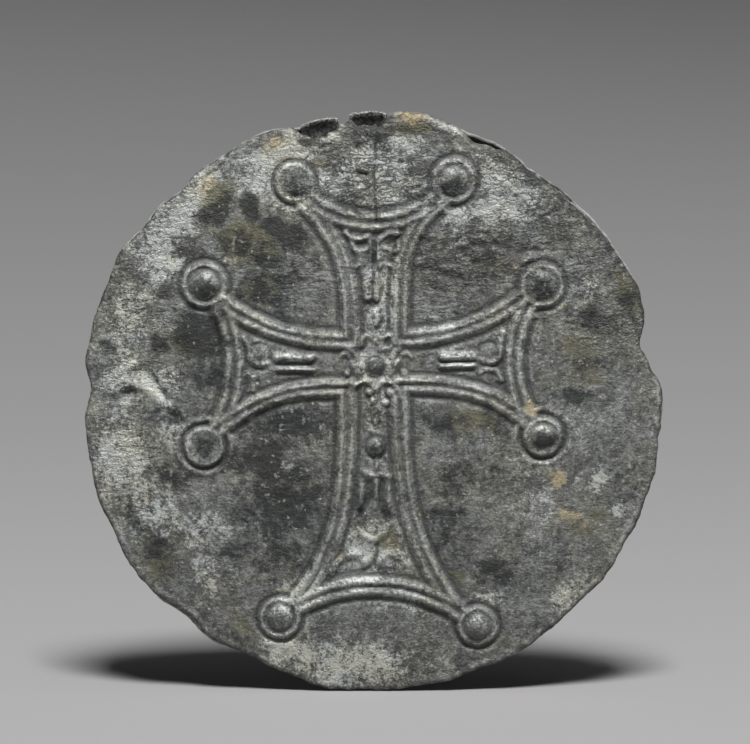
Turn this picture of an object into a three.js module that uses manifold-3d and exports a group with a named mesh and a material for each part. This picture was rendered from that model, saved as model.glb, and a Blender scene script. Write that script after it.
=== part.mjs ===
import * as THREE from 'three';
import { mergeVertices } from 'three/addons/utils/BufferGeometryUtils.js';
import Module from 'manifold-3d';

// A pilgrim's medallion: two thin tin-lead sheets soldered round the rim, the front one
// pressed with a flared cross. The seam has sprung at both sides and at the top, where two
// stubs of the broken carrying loop are still held between the sheets.
// Millimetres. It stands upright with the cross towards -Y, and the origin is the centre of
// the flat back. Everything is drawn facing the viewer, with x to the right, y up and z out
// of the face, and turned upright at the end.

// Disc and sheets
const discRadius = 30.2;
const backThickness = 0.5;
const frontThickness = 0.5;
const bulge = 1.3;
const flangeWidth = 1.2;
const trimMargin = 3.6;

// Solder between the sheets
const seamThickness = 0.6;
const seamWidth = 1.1;
const seamInset = 0.3;
const seamWaver = 0.15;

// Raised lines of the cross, which run in pairs
const lineWidth = 0.86;
const lineHeight = 0.34;
const lineGap = 1.02;

// Bosses at the tips of the arms, and the one at the crossing
const domeHeight = 0.85;
const ringHeight = 0.42;
const domeShare = 0.74;
const skirtShare = 1.3;
const centreDomeRadius = 1.05;
const centreRingRadius = 1.5;
const centreDomeHeight = 0.5;

// Small ornament inside the arms
const strokeWidth = 0.5;
const strokeHeight = 0.24;
const barHeight = 0.24;
const beadHeight = 0.45;
const reliefRoot = 0.2;

// Stubs of the carrying loop
const stubFoot = 3.1;
const stubWidth = 4.0;
const stubClearance = 0.3;
const beadRadius = 0.3;

// Shape of a dome, its ring and a button: shares of their radii and heights
const domeShoulder = { reach: 0.6, height: 0.88 };
const valleyShare = 1 / 3;
const buttonShoulder = { reach: 0.7, height: 0.75 };

// Smoothness
const edgeSteps = 120;
const turnSteps = 48;
const bossSteps = 14;
const buttonSteps = 8;
const swellRings = [0, 0.35, 0.6, 0.8, 1];
const flarePoints = 9;
const flareSteps = { upright: 9, level: 8 };
const endPoints = 8;
const endSteps = 8;
const curlPoints = 6;
const curlSteps = { root: 5, leaf: 6 };
const tipSteps = 2;
const baySteps = 16;
const lipSteps = 8;
const lipSides = 6;

// Where the edge departs from a circle: the angle in degrees counter-clockwise from the
// right, how far the edge moves out (or in), and over how many degrees that fades
const sharedFlaws = [
  { angle: 12.5, rise: -1.6, spread: 4 },
  { angle: 7.5, rise: -0.5, spread: 2.5 },
  { angle: 52, rise: -0.45, spread: 9 },
  { angle: 115, rise: 0.3, spread: 8 },
  { angle: 132, rise: -0.3, spread: 3 },
  { angle: 148, rise: 0.35, spread: 4 },
  { angle: 176, rise: -0.8, spread: 3.5 },
  { angle: 185, rise: -0.4, spread: 12 },
  { angle: 204, rise: -0.15, spread: 12 },
  { angle: 228, rise: -0.5, spread: 6 },
  { angle: 245, rise: -0.85, spread: 10 },
  { angle: 258, rise: -0.15, spread: 5 },
  { angle: 280, rise: -0.3, spread: 22 },
  { angle: 314, rise: -0.2, spread: 8 },
];
const frontFlaws = [
  { angle: 79.5, rise: 1, spread: 6 },
  { angle: 69, rise: -0.8, spread: 2.6 },
  { angle: 232, rise: -0.35, spread: 12 },
];
const backFlaws = [
  { angle: 86, rise: -0.5, spread: 6 },
  { angle: 98, rise: -0.8, spread: 6 },
  { angle: 298, rise: -0.25, spread: 9 },
];
const ripple = 0.07;

// Bosses: centre, radius of the ring round the dome, and how high the worn dome still is
const bosses = {
  topLeft: { x: -7.9, y: 23.35, ring: 2.15, wear: 0.75 },
  topRight: { x: 8.5, y: 23.6, ring: 2.05, wear: 0.9 },
  leftUpper: { x: -17.2, y: 12.75, ring: 2.05, wear: 1 },
  leftLower: { x: -17.3, y: -4.1, ring: 1.85, wear: 0.6 },
  rightUpper: { x: 17.6, y: 12.65, ring: 1.85, wear: 0.8 },
  rightLower: { x: 17.75, y: -3.05, ring: 1.85, wear: 0.7 },
  footLeft: { x: -9.5, y: -22.25, ring: 1.85, wear: 0.95 },
  footRight: { x: 11.05, y: -23.1, ring: 1.85, wear: 0.95 },
};
const crossing = { x: 0.45, y: 4.1 };

// The four quarters of the field: the corner where two arms meet, and for each arm its
// boss, the side of that boss where the lines arrive, and how late the arm flares
const quarters = [
  {
    corner: { x: -2.15, y: 7 },
    upright: { boss: 'topLeft', arrival: -63, flare: 3.1 },
    level: { boss: 'leftUpper', arrival: -47, flare: 2.5 },
  },
  {
    corner: { x: 2.95, y: 7.25 },
    upright: { boss: 'topRight', arrival: 240, flare: 4.2 },
    level: { boss: 'rightUpper', arrival: 210, flare: 2.3 },
  },
  {
    corner: { x: -2.5, y: 2.1 },
    upright: { boss: 'footLeft', arrival: 43, flare: 3.5 },
    level: { boss: 'leftLower', arrival: 53, flare: 2.6 },
  },
  {
    corner: { x: 2.95, y: 2.4 },
    upright: { boss: 'footRight', arrival: 146, flare: 3 },
    level: { boss: 'rightLower', arrival: 134, flare: 2.9 },
  },
];

// The hollow ends of the arms: an arc from boss to boss, bent in by its sagitta
const armEnds = [
  { from: 'topLeft', to: 'topRight', sagitta: 4.15 },
  { from: 'rightUpper', to: 'rightLower', sagitta: 3 },
  { from: 'footRight', to: 'footLeft', sagitta: 3.8 },
  { from: 'leftLower', to: 'leftUpper', sagitta: 3.1 },
];

// Ornament of each arm, measured out along the arm from the crossing and sideways from
// the arm's own middle line, which passes the crossing at a small offset
const arms = [
  { turn: 90, offset: 0, bars: [7.3, 10.1], barGap: 1, leaves: 13, spread: 1.85, drops: [5.2] },
  { turn: 180, offset: 0.4, bars: [6.5, 10.3], barGap: 1.35, leaves: 12, spread: 1.25, drops: [] },
  { turn: 0, offset: 0.65, bars: [6.8, 10.2], barGap: 1.2, leaves: 11.7, spread: 1.25, drops: [] },
  { turn: 270, offset: 0, bars: [11.8, 15.1], barGap: 1.2, leaves: 20, spread: 1.75, drops: [5.5, 10.6] },
];
const barWidth = 0.75;
const rootCurl = { along: 2.75, aside: 1, radius: 0.55 };
const leafCurlRadius = 0.85;
const curlFrom = 200;
const curlTo = -90;
const leafTip = { along: 1.7, aside: 1.6 };
const dropRadius = 0.42;
const footBead = { along: 8.1, radius: 0.85 };
const footPetals = { along: 17.4, aside: 0.75, radius: 0.6 };

// Sprung lengths of the seam lie between these soldered ones, from angle to angle
const seams = [
  { name: 'rim_solder_lower', from: 181, to: 366 },
  { name: 'rim_solder_upper_right', from: 22, to: 61 },
  { name: 'rim_solder_upper_left', from: 112, to: 168 },
];

// Stubs: the angle at which each stands, and how far its crown reaches past the circle
const stubs = [
  { name: 'loop_stub_left', angle: 100.4, crown: 0.1 },
  { name: 'loop_stub_right', angle: 90.6, crown: 0.5 },
];

const wasm = await Module();
wasm.setup();

// A closed geometry as a solid that can be joined and cut
function solidOf(geometry) {
  const bare = geometry.clone();
  bare.deleteAttribute('normal');
  bare.deleteAttribute('uv');
  const merged = mergeVertices(bare);
  const corners = merged.index.array;
  const triVerts = [];
  for (let i = 0; i < corners.length; i += 3) {
    const [a, b, c] = [corners[i], corners[i + 1], corners[i + 2]];
    if (a !== b && b !== c && c !== a) triVerts.push(a, b, c);
  }
  return new wasm.Manifold(
    new wasm.Mesh({
      numProp: 3,
      vertProperties: new Float32Array(merged.attributes.position.array),
      triVerts: new Uint32Array(triVerts),
    }),
  );
}

function geometryOf(solid) {
  const { vertProperties, triVerts } = solid.getMesh();
  const geometry = new THREE.BufferGeometry();
  geometry.setAttribute('position', new THREE.BufferAttribute(vertProperties, 3));
  geometry.setIndex(new THREE.BufferAttribute(triVerts, 1));
  return geometry;
}

const radians = THREE.MathUtils.degToRad;

function polar(angle, radius, centre = { x: 0, y: 0 }) {
  const turn = radians(angle);
  return { x: centre.x + radius * Math.cos(turn), y: centre.y + radius * Math.sin(turn) };
}

// Radius of the edge: the circle, a fine ripple and every flaw as a smooth bump or dent
function edgeRadius(angle, flaws) {
  let radius = discRadius + ripple * (Math.sin(radians(17 * angle)) + Math.cos(radians(29 * angle)));
  for (const { angle: middle, rise, spread } of flaws) {
    const away = THREE.MathUtils.euclideanModulo(angle - middle + 180, 360) - 180;
    radius += rise * Math.exp(-((away / spread) ** 2));
  }
  return radius;
}

function outline(flaws) {
  const points = [];
  for (let step = 0; step < edgeSteps; step++) {
    const angle = (360 * step) / edgeSteps;
    const { x, y } = polar(angle, edgeRadius(angle, flaws));
    points.push(new THREE.Vector2(x, y));
  }
  return new THREE.Shape(points);
}

// A flat shape given thickness, with its lower face at a height
function plate(shape, thickness, height) {
  const geometry = new THREE.ExtrudeGeometry(shape, { depth: thickness, bevelEnabled: false });
  return geometry.translate(0, 0, height);
}

// A profile of [radius, height] pairs turned about the z axis
function turned(profile, steps) {
  const points = profile.map(([radius, height]) => new THREE.Vector2(radius, height));
  return new THREE.LatheGeometry(points, steps).rotateX(Math.PI / 2);
}

// The front sheet swells between the sheets and lies flat on the flange
const swellRadius = discRadius - flangeWidth;
const frontBackHeight = backThickness + seamThickness;

function swell(radius) {
  return bulge * (1 - Math.min(1, radius / swellRadius) ** 2);
}

function fieldHeight(x, y) {
  return frontBackHeight + frontThickness + swell(Math.hypot(x, y));
}

function dish() {
  const radii = swellRings.map((share) => share * swellRadius);
  radii.push(discRadius + trimMargin);
  const under = radii.map((radius) => [radius, frontBackHeight + swell(radius)]);
  const over = radii.map((radius) => [radius, frontBackHeight + frontThickness + swell(radius)]);
  return turned([...under, ...over.reverse()], turnSteps);
}

// A path on the field whose section never twists: its x axis always points out of the face
class FieldPath extends THREE.CatmullRomCurve3 {
  computeFrenetFrames(steps) {
    const out = new THREE.Vector3(0, 0, 1);
    const tangents = [];
    const normals = [];
    const binormals = [];
    for (let step = 0; step <= steps; step++) {
      const tangent = this.getTangentAt(step / steps).setZ(0).normalize();
      tangents.push(tangent);
      normals.push(out);
      binormals.push(tangent.clone().cross(out));
    }
    return { tangents, normals, binormals };
  }
}

// A line with a roof-shaped section raised on the field, through points {x, y}
function raisedLine(points, width, height, steps) {
  const path = new FieldPath(points.map(({ x, y }) => new THREE.Vector3(x, y, fieldHeight(x, y))));
  const foot = (width / 2) * (1 + reliefRoot / height);
  const section = new THREE.Shape([
    new THREE.Vector2(-reliefRoot, -foot),
    new THREE.Vector2(height, 0),
    new THREE.Vector2(-reliefRoot, foot),
  ]);
  return new THREE.ExtrudeGeometry(section, { steps, extrudePath: path, bevelEnabled: false });
}

// One line along the side of an arm. It starts at the corner, and its distance from the
// arm's middle grows with a power of the distance run, so it flares late, up to the boss.
function flareLine(corner, side, upright, shift) {
  const { boss, arrival, flare } = side;
  const { x, y, ring } = bosses[boss];
  const end = polar(arrival, ring * skirtShare, { x, y });
  const run = upright ? end.y - corner.y : end.x - corner.x;
  const spreadOut = upright ? end.x - corner.x : end.y - corner.y;
  const slope = (flare * spreadOut) / run;
  const length = Math.hypot(1, slope);
  const outward = Math.sign(spreadOut);
  const endAcross = (outward * shift) / length;
  const endAlong = (-outward * shift * slope) / length;
  const start = { along: Math.sign(run) * shift, across: outward * shift };
  const points = [];
  for (let i = 0; i <= flarePoints; i++) {
    const t = i / flarePoints;
    const along = THREE.MathUtils.lerp(start.along, run + endAlong, t);
    const across = THREE.MathUtils.lerp(start.across, endAcross, t) + spreadOut * t ** flare;
    const step = upright ? { x: across, y: along } : { x: along, y: across };
    points.push({ x: corner.x + step.x, y: corner.y + step.y });
  }
  return points;
}

// One line of a hollow arm end: a circular arc through both boss centres, cut back to the
// rings, with the arc's radius changed by the shift
function endLine({ from, to, sagitta }, shift) {
  const a = bosses[from];
  const b = bosses[to];
  const chord = Math.hypot(b.x - a.x, b.y - a.y);
  const radius = (chord * chord) / (8 * sagitta) + sagitta / 2;
  const middle = { x: (a.x + b.x) / 2, y: (a.y + b.y) / 2 };
  const outward = { x: (a.y - b.y) / chord, y: (b.x - a.x) / chord };
  const centre = {
    x: middle.x + outward.x * (radius - sagitta),
    y: middle.y + outward.y * (radius - sagitta),
  };
  const facing = Math.atan2(-outward.y, -outward.x);
  const half = Math.asin(chord / (2 * radius));
  const start = -half + (a.ring * skirtShare) / radius;
  const stop = half - (b.ring * skirtShare) / radius;
  const points = [];
  for (let i = 0; i <= endPoints; i++) {
    const turn = facing + THREE.MathUtils.lerp(start, stop, i / endPoints);
    points.push({
      x: centre.x + (radius + shift) * Math.cos(turn),
      y: centre.y + (radius + shift) * Math.sin(turn),
    });
  }
  return points;
}

// A dome inside a ring, rooted in the sheet
function boss({ x, y }, domeRadius, ringRadius, height) {
  const skirt = ringRadius * skirtShare;
  const valley = (domeRadius + ringRadius) / 2;
  const profile = [
    [0, -reliefRoot],
    [skirt, -reliefRoot],
    [ringRadius, ringHeight],
    [valley, ringHeight * valleyShare],
    [domeRadius * domeShoulder.reach, height * domeShoulder.height],
    [0, height],
  ];
  return turned(profile, bossSteps).translate(x, y, fieldHeight(x, y));
}

// A low round button, for drops and beads
function button({ x, y }, radius, height) {
  const profile = [
    [0, -reliefRoot],
    [radius, -reliefRoot],
    [radius * buttonShoulder.reach, height * buttonShoulder.height],
    [0, height],
  ];
  return turned(profile, buttonSteps).translate(x, y, fieldHeight(x, y));
}

// A point of an arm, from its distance out and its distance aside
function onArm({ turn, offset }, along, aside) {
  const out = polar(turn, along);
  const across = polar(turn + 90, aside);
  const lift = turn % 180 === 0 ? offset : 0;
  return { x: crossing.x + out.x + across.x, y: crossing.y + out.y + across.y + lift };
}

function bar(arm, aside) {
  const [near, far] = arm.bars;
  const middle = onArm(arm, (near + far) / 2, aside);
  const geometry = new THREE.BoxGeometry(far - near, barWidth, barHeight + reliefRoot);
  geometry.rotateZ(radians(arm.turn));
  const height = fieldHeight(middle.x, middle.y) + (barHeight - reliefRoot) / 2;
  return geometry.translate(middle.x, middle.y, height);
}

// A volute: three quarters of a small circle, open towards the arm's middle line
function curl(arm, along, aside, radius) {
  const points = [];
  const side = Math.sign(aside);
  for (let i = 0; i <= curlPoints; i++) {
    const bend = radians(THREE.MathUtils.lerp(curlFrom, curlTo, i / curlPoints));
    points.push(onArm(arm, along + radius * Math.sin(bend), aside - side * radius * Math.cos(bend)));
  }
  return points;
}

function ornament(arm) {
  const solids = [];
  for (const side of [-1, 1]) {
    const bars = bar(arm, (side * arm.barGap) / 2);
    solids.push(solidOf(bars));
    const root = curl(arm, rootCurl.along, side * rootCurl.aside, rootCurl.radius);
    solids.push(solidOf(raisedLine(root, strokeWidth, strokeHeight, curlSteps.root)));
    const leaf = curl(arm, arm.leaves, side * arm.spread, leafCurlRadius);
    solids.push(solidOf(raisedLine(leaf, strokeWidth, strokeHeight, curlSteps.leaf)));
    const tip = [
      onArm(arm, arm.leaves + leafCurlRadius, side * arm.spread),
      onArm(arm, arm.leaves + leafTip.along, side * (arm.spread + leafTip.aside / 2)),
      onArm(arm, arm.leaves + leafTip.along + leafCurlRadius, side * (arm.spread + leafTip.aside)),
    ];
    solids.push(solidOf(raisedLine(tip, strokeWidth, strokeHeight, tipSteps)));
  }
  for (const along of arm.drops) {
    solids.push(solidOf(button(onArm(arm, along, 0), dropRadius, barHeight)));
  }
  return solids;
}

// What only the long lower arm carries: a large bead and the petals above its leaves
function footOrnament(arm) {
  const petals = [-1, 1].map((side) =>
    solidOf(button(onArm(arm, footPetals.along, side * footPetals.aside), footPetals.radius, barHeight)),
  );
  return [solidOf(button(onArm(arm, footBead.along, 0), footBead.radius, beadHeight)), ...petals];
}

function crossRelief() {
  const solids = [];
  for (const shift of [-lineGap / 2, lineGap / 2]) {
    for (const { corner, upright, level } of quarters) {
      const rising = flareLine(corner, upright, true, shift);
      solids.push(solidOf(raisedLine(rising, lineWidth, lineHeight, flareSteps.upright)));
      const lying = flareLine(corner, level, false, shift);
      solids.push(solidOf(raisedLine(lying, lineWidth, lineHeight, flareSteps.level)));
    }
    for (const end of armEnds) {
      solids.push(solidOf(raisedLine(endLine(end, shift), lineWidth, lineHeight, endSteps)));
    }
  }
  for (const tip of Object.values(bosses)) {
    solids.push(solidOf(boss(tip, tip.ring * domeShare, tip.ring, domeHeight * tip.wear)));
  }
  solids.push(solidOf(boss(crossing, centreDomeRadius, centreRingRadius, centreDomeHeight)));
  for (const arm of arms) solids.push(...ornament(arm));
  solids.push(...footOrnament(arms.at(-1)));
  return solids;
}

// The torn bay in the front sheet over a stub: an oval that runs out past the edge
function bay({ angle }) {
  const reach = stubFoot;
  const shape = new THREE.Shape();
  const halfWidth = stubWidth / 2 + stubClearance;
  shape.absellipse(0, 0, halfWidth, reach, Math.PI, 2 * Math.PI, false);
  shape.lineTo(halfWidth, reach);
  shape.lineTo(-halfWidth, reach);
  const depth = seamThickness + frontThickness + bulge;
  const curveSegments = baySteps / 2;
  const geometry = new THREE.ExtrudeGeometry(shape, { depth, bevelEnabled: false, curveSegments });
  const middle = polar(angle, discRadius);
  return geometry.rotateZ(radians(angle - 90)).translate(middle.x, middle.y, backThickness);
}

function frontSheet() {
  let solid = solidOf(dish());
  for (const relief of crossRelief()) solid = solid.add(relief);
  const depth = frontThickness + bulge + domeHeight + 2 * reliefRoot;
  const stock = plate(outline([...sharedFlaws, ...frontFlaws]), depth, frontBackHeight - reliefRoot);
  solid = solid.intersect(solidOf(stock));
  for (const stub of stubs) solid = solid.subtract(solidOf(bay(stub)));
  return geometryOf(solid);
}

function backSheet() {
  return plate(outline([...sharedFlaws, ...backFlaws]), backThickness, 0);
}

// A stretch of solder that follows the edge, with an uneven inner side
function seam({ from, to }) {
  const steps = Math.ceil((edgeSteps * (to - from)) / 360);
  const outer = [];
  const inner = [];
  for (let step = 0; step <= steps; step++) {
    const angle = THREE.MathUtils.lerp(from, to, step / steps);
    const radius = edgeRadius(angle, sharedFlaws) - seamInset;
    const run = polar(angle, radius);
    const lap = polar(angle, radius - seamWidth - seamWaver * Math.sin(radians(23 * angle)));
    outer.push(new THREE.Vector2(run.x, run.y));
    inner.unshift(new THREE.Vector2(lap.x, lap.y));
  }
  return plate(new THREE.Shape([...outer, ...inner]), seamThickness, backThickness);
}

// A tongue between the sheets with a thicker, uneven crown where the loop broke off
function stub({ angle, crown }) {
  const half = stubWidth / 2;
  const tongue = new THREE.Shape();
  tongue.moveTo(-half, -stubFoot);
  tongue.lineTo(half, -stubFoot);
  tongue.lineTo(half, crown - beadRadius);
  tongue.bezierCurveTo(half / 2, crown + beadRadius, 0, crown - beadRadius, -half / 3, crown);
  tongue.bezierCurveTo(-half / 2, crown + beadRadius, -half, crown, -half, crown - 2 * beadRadius);
  const body = plate(tongue, seamThickness, backThickness);
  const rim = new THREE.CatmullRomCurve3([
    new THREE.Vector3(half - beadRadius, crown - 2 * beadRadius, frontBackHeight),
    new THREE.Vector3(half / 3, crown - beadRadius, frontBackHeight + beadRadius / 2),
    new THREE.Vector3(-half / 3, crown - beadRadius, frontBackHeight + beadRadius / 2),
    new THREE.Vector3(-half + beadRadius, crown - 2.5 * beadRadius, frontBackHeight),
  ]);
  const section = new THREE.Shape().absarc(0, 0, beadRadius, 0, 2 * Math.PI);
  const lip = new THREE.ExtrudeGeometry(section, {
    steps: lipSteps,
    curveSegments: lipSides / 2,
    extrudePath: rim,
    bevelEnabled: false,
  });
  const geometry = geometryOf(solidOf(body).add(solidOf(lip)));
  const seat = polar(angle, discRadius);
  return geometry.rotateZ(radians(angle - 90)).translate(seat.x, seat.y, 0);
}

const pressedTin = new THREE.MeshStandardMaterial({ color: 0x6b6c69, roughness: 0.55, metalness: 0.7 });
const plainTin = new THREE.MeshStandardMaterial({ color: 0x5c5e5b, roughness: 0.65, metalness: 0.6 });
const solder = new THREE.MeshStandardMaterial({ color: 0x7d7d79, roughness: 0.7, metalness: 0.5 });
const tarnish = new THREE.MeshStandardMaterial({ color: 0x3a3b39, roughness: 0.8, metalness: 0.3 });

const medallion = new THREE.Group();

// Turns a piece from facing the viewer to facing -Y, and names it
function addPiece(name, geometry, material) {
  const mesh = new THREE.Mesh(geometry.rotateX(Math.PI / 2), material);
  mesh.name = name;
  medallion.add(mesh);
}

addPiece('front_sheet', frontSheet(), pressedTin);
addPiece('back_sheet', backSheet(), plainTin);
for (const stretch of seams) addPiece(stretch.name, seam(stretch), solder);
for (const piece of stubs) addPiece(piece.name, stub(piece), tarnish);

export default medallion;
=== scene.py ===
"""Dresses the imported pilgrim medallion: two thin tin-lead sheets, their solder and two torn stubs.

Inside the functions lengths are millimetres and the medallion is seen from the front: x to
the right, y up, and height out of the face. The frame is in metres with the face towards -Y,
so such a point becomes (x, -height, y) / 1000.
"""

import math

import bpy
import numpy as np
from bpy.props import FloatProperty, FloatVectorProperty, IntProperty, PointerProperty
from bpy.types import Operator, Panel, PropertyGroup
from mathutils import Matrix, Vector


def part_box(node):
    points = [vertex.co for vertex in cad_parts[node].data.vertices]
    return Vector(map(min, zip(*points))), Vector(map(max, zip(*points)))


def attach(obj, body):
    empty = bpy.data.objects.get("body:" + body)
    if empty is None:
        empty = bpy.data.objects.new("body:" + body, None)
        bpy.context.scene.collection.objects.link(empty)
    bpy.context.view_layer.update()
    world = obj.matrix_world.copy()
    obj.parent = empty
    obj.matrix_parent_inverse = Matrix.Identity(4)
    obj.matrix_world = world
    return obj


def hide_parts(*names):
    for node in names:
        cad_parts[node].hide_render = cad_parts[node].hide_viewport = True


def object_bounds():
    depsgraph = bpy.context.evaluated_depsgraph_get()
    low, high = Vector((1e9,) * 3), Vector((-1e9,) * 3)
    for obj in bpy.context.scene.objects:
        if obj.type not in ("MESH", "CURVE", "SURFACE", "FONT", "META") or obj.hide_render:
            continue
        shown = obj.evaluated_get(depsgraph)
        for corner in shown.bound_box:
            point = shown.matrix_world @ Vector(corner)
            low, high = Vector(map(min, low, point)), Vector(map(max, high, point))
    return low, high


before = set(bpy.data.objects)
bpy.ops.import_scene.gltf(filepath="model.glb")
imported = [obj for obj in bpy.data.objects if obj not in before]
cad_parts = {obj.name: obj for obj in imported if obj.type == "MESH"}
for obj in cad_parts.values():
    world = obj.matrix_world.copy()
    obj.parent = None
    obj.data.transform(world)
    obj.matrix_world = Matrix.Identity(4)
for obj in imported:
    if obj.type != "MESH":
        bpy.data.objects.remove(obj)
cad_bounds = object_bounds()

bl_info = {
    "name": "Pilgrim medallion",
    "version": (1, 0, 0),
    "blender": (4, 5, 0),
    "location": "View3D > Sidebar > Medallion",
    "description": "Builds the worn, pressed sheets of a round tin-lead pilgrim medallion",
    "category": "Add Mesh",
}

MM = 0.001
LOWEST = cad_bounds[0].z
FAR = 99.0

# Heights above the flat back where one layer ends and the next begins
BACK_TOP = -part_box("back_sheet")[0].y / MM
FRONT_UNDER = -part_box("rim_solder_lower")[0].y / MM
DISC_RADIUS = 30.2
FLANGE_WIDTH = 1.2

# Where the edge departs from a circle: angle in degrees counter-clockwise from the right,
# how far the edge moves out, and over how many degrees that fades
SHARED_FLAWS = [
    (12.5, -1.6, 4), (7.5, -0.5, 2.5), (52, -0.45, 9), (115, 0.3, 8), (132, -0.3, 3),
    (148, 0.35, 4), (176, -0.8, 3.5), (185, -0.4, 12), (204, -0.15, 12), (228, -0.5, 6),
    (245, -0.85, 10), (258, -0.15, 5), (280, -0.3, 22), (314, -0.2, 8),
]
FRONT_FLAWS = [
    (80.8, 0.95, 5.6), (68.8, -0.72, 2.2), (65, -0.35, 2.2), (95.6, -0.6, 1.5), (232, -0.35, 12),
    (44, -0.3, 15),
]
BACK_FLAWS = [(86, -0.5, 6), (98, -0.8, 6), (298, -0.25, 9)]

# Bosses: centre, radius of the ring, height of the worn dome, depth of the dent in it, and
# how much of the low outer lip is left
BOSSES = {
    "top_left": (-7.9, 23.3, 1.8, 0.85, 0.05, 0.6),
    "top_right": (8.5, 23.5, 2.05, 1.0, 0.0, 0.6),
    "left_upper": (-17.2, 12.75, 2.05, 1.0, 0.05, 0.3),
    "left_lower": (-17.3, -4.1, 1.8, 0.45, 0.2, 1.3),
    "right_upper": (17.6, 12.65, 2.0, 0.95, 0.12, 0.7),
    "right_lower": (17.75, -3.05, 1.8, 0.9, 0.1, 1.2),
    "foot_left": (-9.5, -22.1, 1.9, 0.9, 0.05, 0.3),
    "foot_right": (11.05, -22.95, 1.85, 0.95, 0.0, 0.6),
}
LINE_REACH = 2.2

# The corner of each quarter of the field, and for its upright and its level line the boss,
# the side of the boss where they arrive in degrees, and how late they flare
QUARTERS = [
    ((-2.15, 7), ("top_left", -63, 3.1), ("left_upper", -47, 2.5)),
    ((2.95, 7.25), ("top_right", 240, 4.2), ("right_upper", 210, 2.3)),
    ((-2.5, 2.1), ("foot_left", 43, 3.5), ("left_lower", 53, 2.6)),
    ((2.95, 2.4), ("foot_right", 146, 3), ("right_lower", 134, 2.9)),
]
ARM_ENDS = [
    ("top_left", "top_right", 4.15), ("right_upper", "right_lower", 3),
    ("foot_right", "foot_left", 3.8), ("left_lower", "left_upper", 3.1),
]
CROSSING = (0.43, 4.3)

# Raised strokes of the small ornament: the points of a smooth curve, width and height
RAISED_STROKES = [
    # Upper arm: leaves, stem, bars and drop
    ([(-2.63, 18.22), (-2.11, 17.65), (-1.18, 17.5), (-0.25, 17.81)], 0.5, 0.26),
    ([(2.75, 18.12), (1.92, 18.17), (1.2, 17.81), (0.68, 17.44)], 0.5, 0.26),
    ([(2.75, 17.29), (2.85, 16.67), (2.34, 16.25), (1.61, 16.46)], 0.45, 0.2),
    ([(-2.01, 17.08), (-1.7, 16.46), (-0.97, 16.25), (-0.45, 16.56)], 0.45, 0.2),
    ([(-0.14, 17.29), (-0.09, 16.25), (-0.04, 15.01)], 0.36, 0.2),
    ([(0.68, 17.19), (0.73, 16.25), (0.68, 15.01)], 0.36, 0.2),
    ([(-1.7, 14.7), (-0.97, 14.96), (-0.25, 14.6)], 0.45, 0.18),
    ([(0.79, 14.6), (1.51, 14.96), (2.34, 14.7)], 0.45, 0.18),
    ([(-0.42, 13.98), (-0.42, 11.5)], 0.9, 0.27), ([(0.56, 14.08), (0.56, 11.29)], 0.45, 0.3),
    ([(0.37, 9.95), (0.68, 9.43), (0.48, 8.81)], 0.55, 0.24),
    # Crossing: volutes above, arms of the ring, line ends and arcs below
    ([(-0.97, 6.53), (-0.97, 7.16), (-0.45, 7.52), (0.06, 7.26), (0.37, 6.74)], 0.42, 0.16),
    ([(1.1, 7.36), (1.92, 7.57), (2.29, 6.95), (1.92, 6.17), (1.3, 6.22)], 0.42, 0.18),
    ([(-2.11, 4.78), (-1.39, 4.47), (-0.87, 4.78)], 0.45, 0.24),
    ([(1.72, 4.78), (2.34, 4.52), (2.85, 4.88)], 0.45, 0.24),
    ([(-3.14, 5.45), (-2.63, 5.71), (-2.21, 5.29)], 0.42, 0.24),
    ([(3.16, 5.6), (3.68, 5.71), (4.09, 5.29)], 0.42, 0.24),
    ([(-2.94, 6.43), (-2.21, 6.12), (-1.7, 5.71), (-1.44, 5.09)], 0.6, 0.3),
    ([(2.85, 6.22), (2.34, 5.81), (2.13, 5.19)], 0.6, 0.28),
    ([(-1.8, 2.3), (-1.07, 2.7), (-0.25, 2.7), (0.37, 1.9)], 0.45, 0.3),
    ([(0.45, 1.9), (1.1, 2.7), (2.1, 2.6), (2.84, 1.8), (3, 1)], 0.45, 0.3),
    ([(1.5, 4.57), (2.7, 4.57)], 0.4, 0.2), ([(-1.9, 4.4), (-0.8, 4.35)], 0.4, 0.2),
    # Lower arm: stem, flare, bars and leaves
    ([(0.53, -5.15), (0.53, -6.29)], 0.4, 0.2),
    ([(-0.77, -6.7), (-0.25, -6.91), (0.48, -7.11), (1.1, -6.91), (1.82, -7.22)], 0.5, 0.2),
    ([(-0.92, -7.94), (-0.97, -9.08), (-1.18, -10.22)], 0.5, 0.22),
    ([(0.51, -7.63), (0.42, -10.32)], 0.5, 0.3), ([(1.77, -8.35), (1.82, -10.63)], 0.45, 0.24),
    ([(-1.1, -12.9), (-0.6, -13.5), (0.1, -13.8), (0.8, -13.5), (1.5, -13.1)], 0.75, 0.2),
    ([(-4.07, -17), (-2.8, -15.6), (-1.5, -15.4), (-0.7, -16.2)], 0.8, 0.25),
    ([(1, -16), (1.8, -15.2), (2.85, -15.5), (3.6, -16.4)], 0.7, 0.22),
    # Left arm: bars and leaves
    ([(-9.76, 5.24), (-6.25, 5.24)], 0.8, 0.4), ([(-9.76, 4.05), (-5.83, 4)], 0.45, 0.26),
    ([(-13.28, 7.36), (-12.66, 6.33), (-12.45, 5.19), (-11.83, 4.57), (-10.79, 4.67)], 0.6, 0.28),
    ([(-12.76, 3.64), (-12.35, 2.81), (-12.14, 1.78)], 0.5, 0.2),
    # Right arm: bars and leaves
    ([(7.3, 5.35), (10.71, 5.4)], 0.8, 0.38), ([(7.09, 4.36), (10.51, 4.42)], 0.45, 0.28),
    ([(13.61, 7.88), (13.4, 6.74), (13.3, 5.71), (12.88, 4.98), (12.06, 4.73), (11.13, 5.09)], 0.6, 0.3),
    ([(11.13, 3.64), (11.95, 4), (12.99, 3.64), (13.4, 2.92)], 0.55, 0.24),
]
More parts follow.
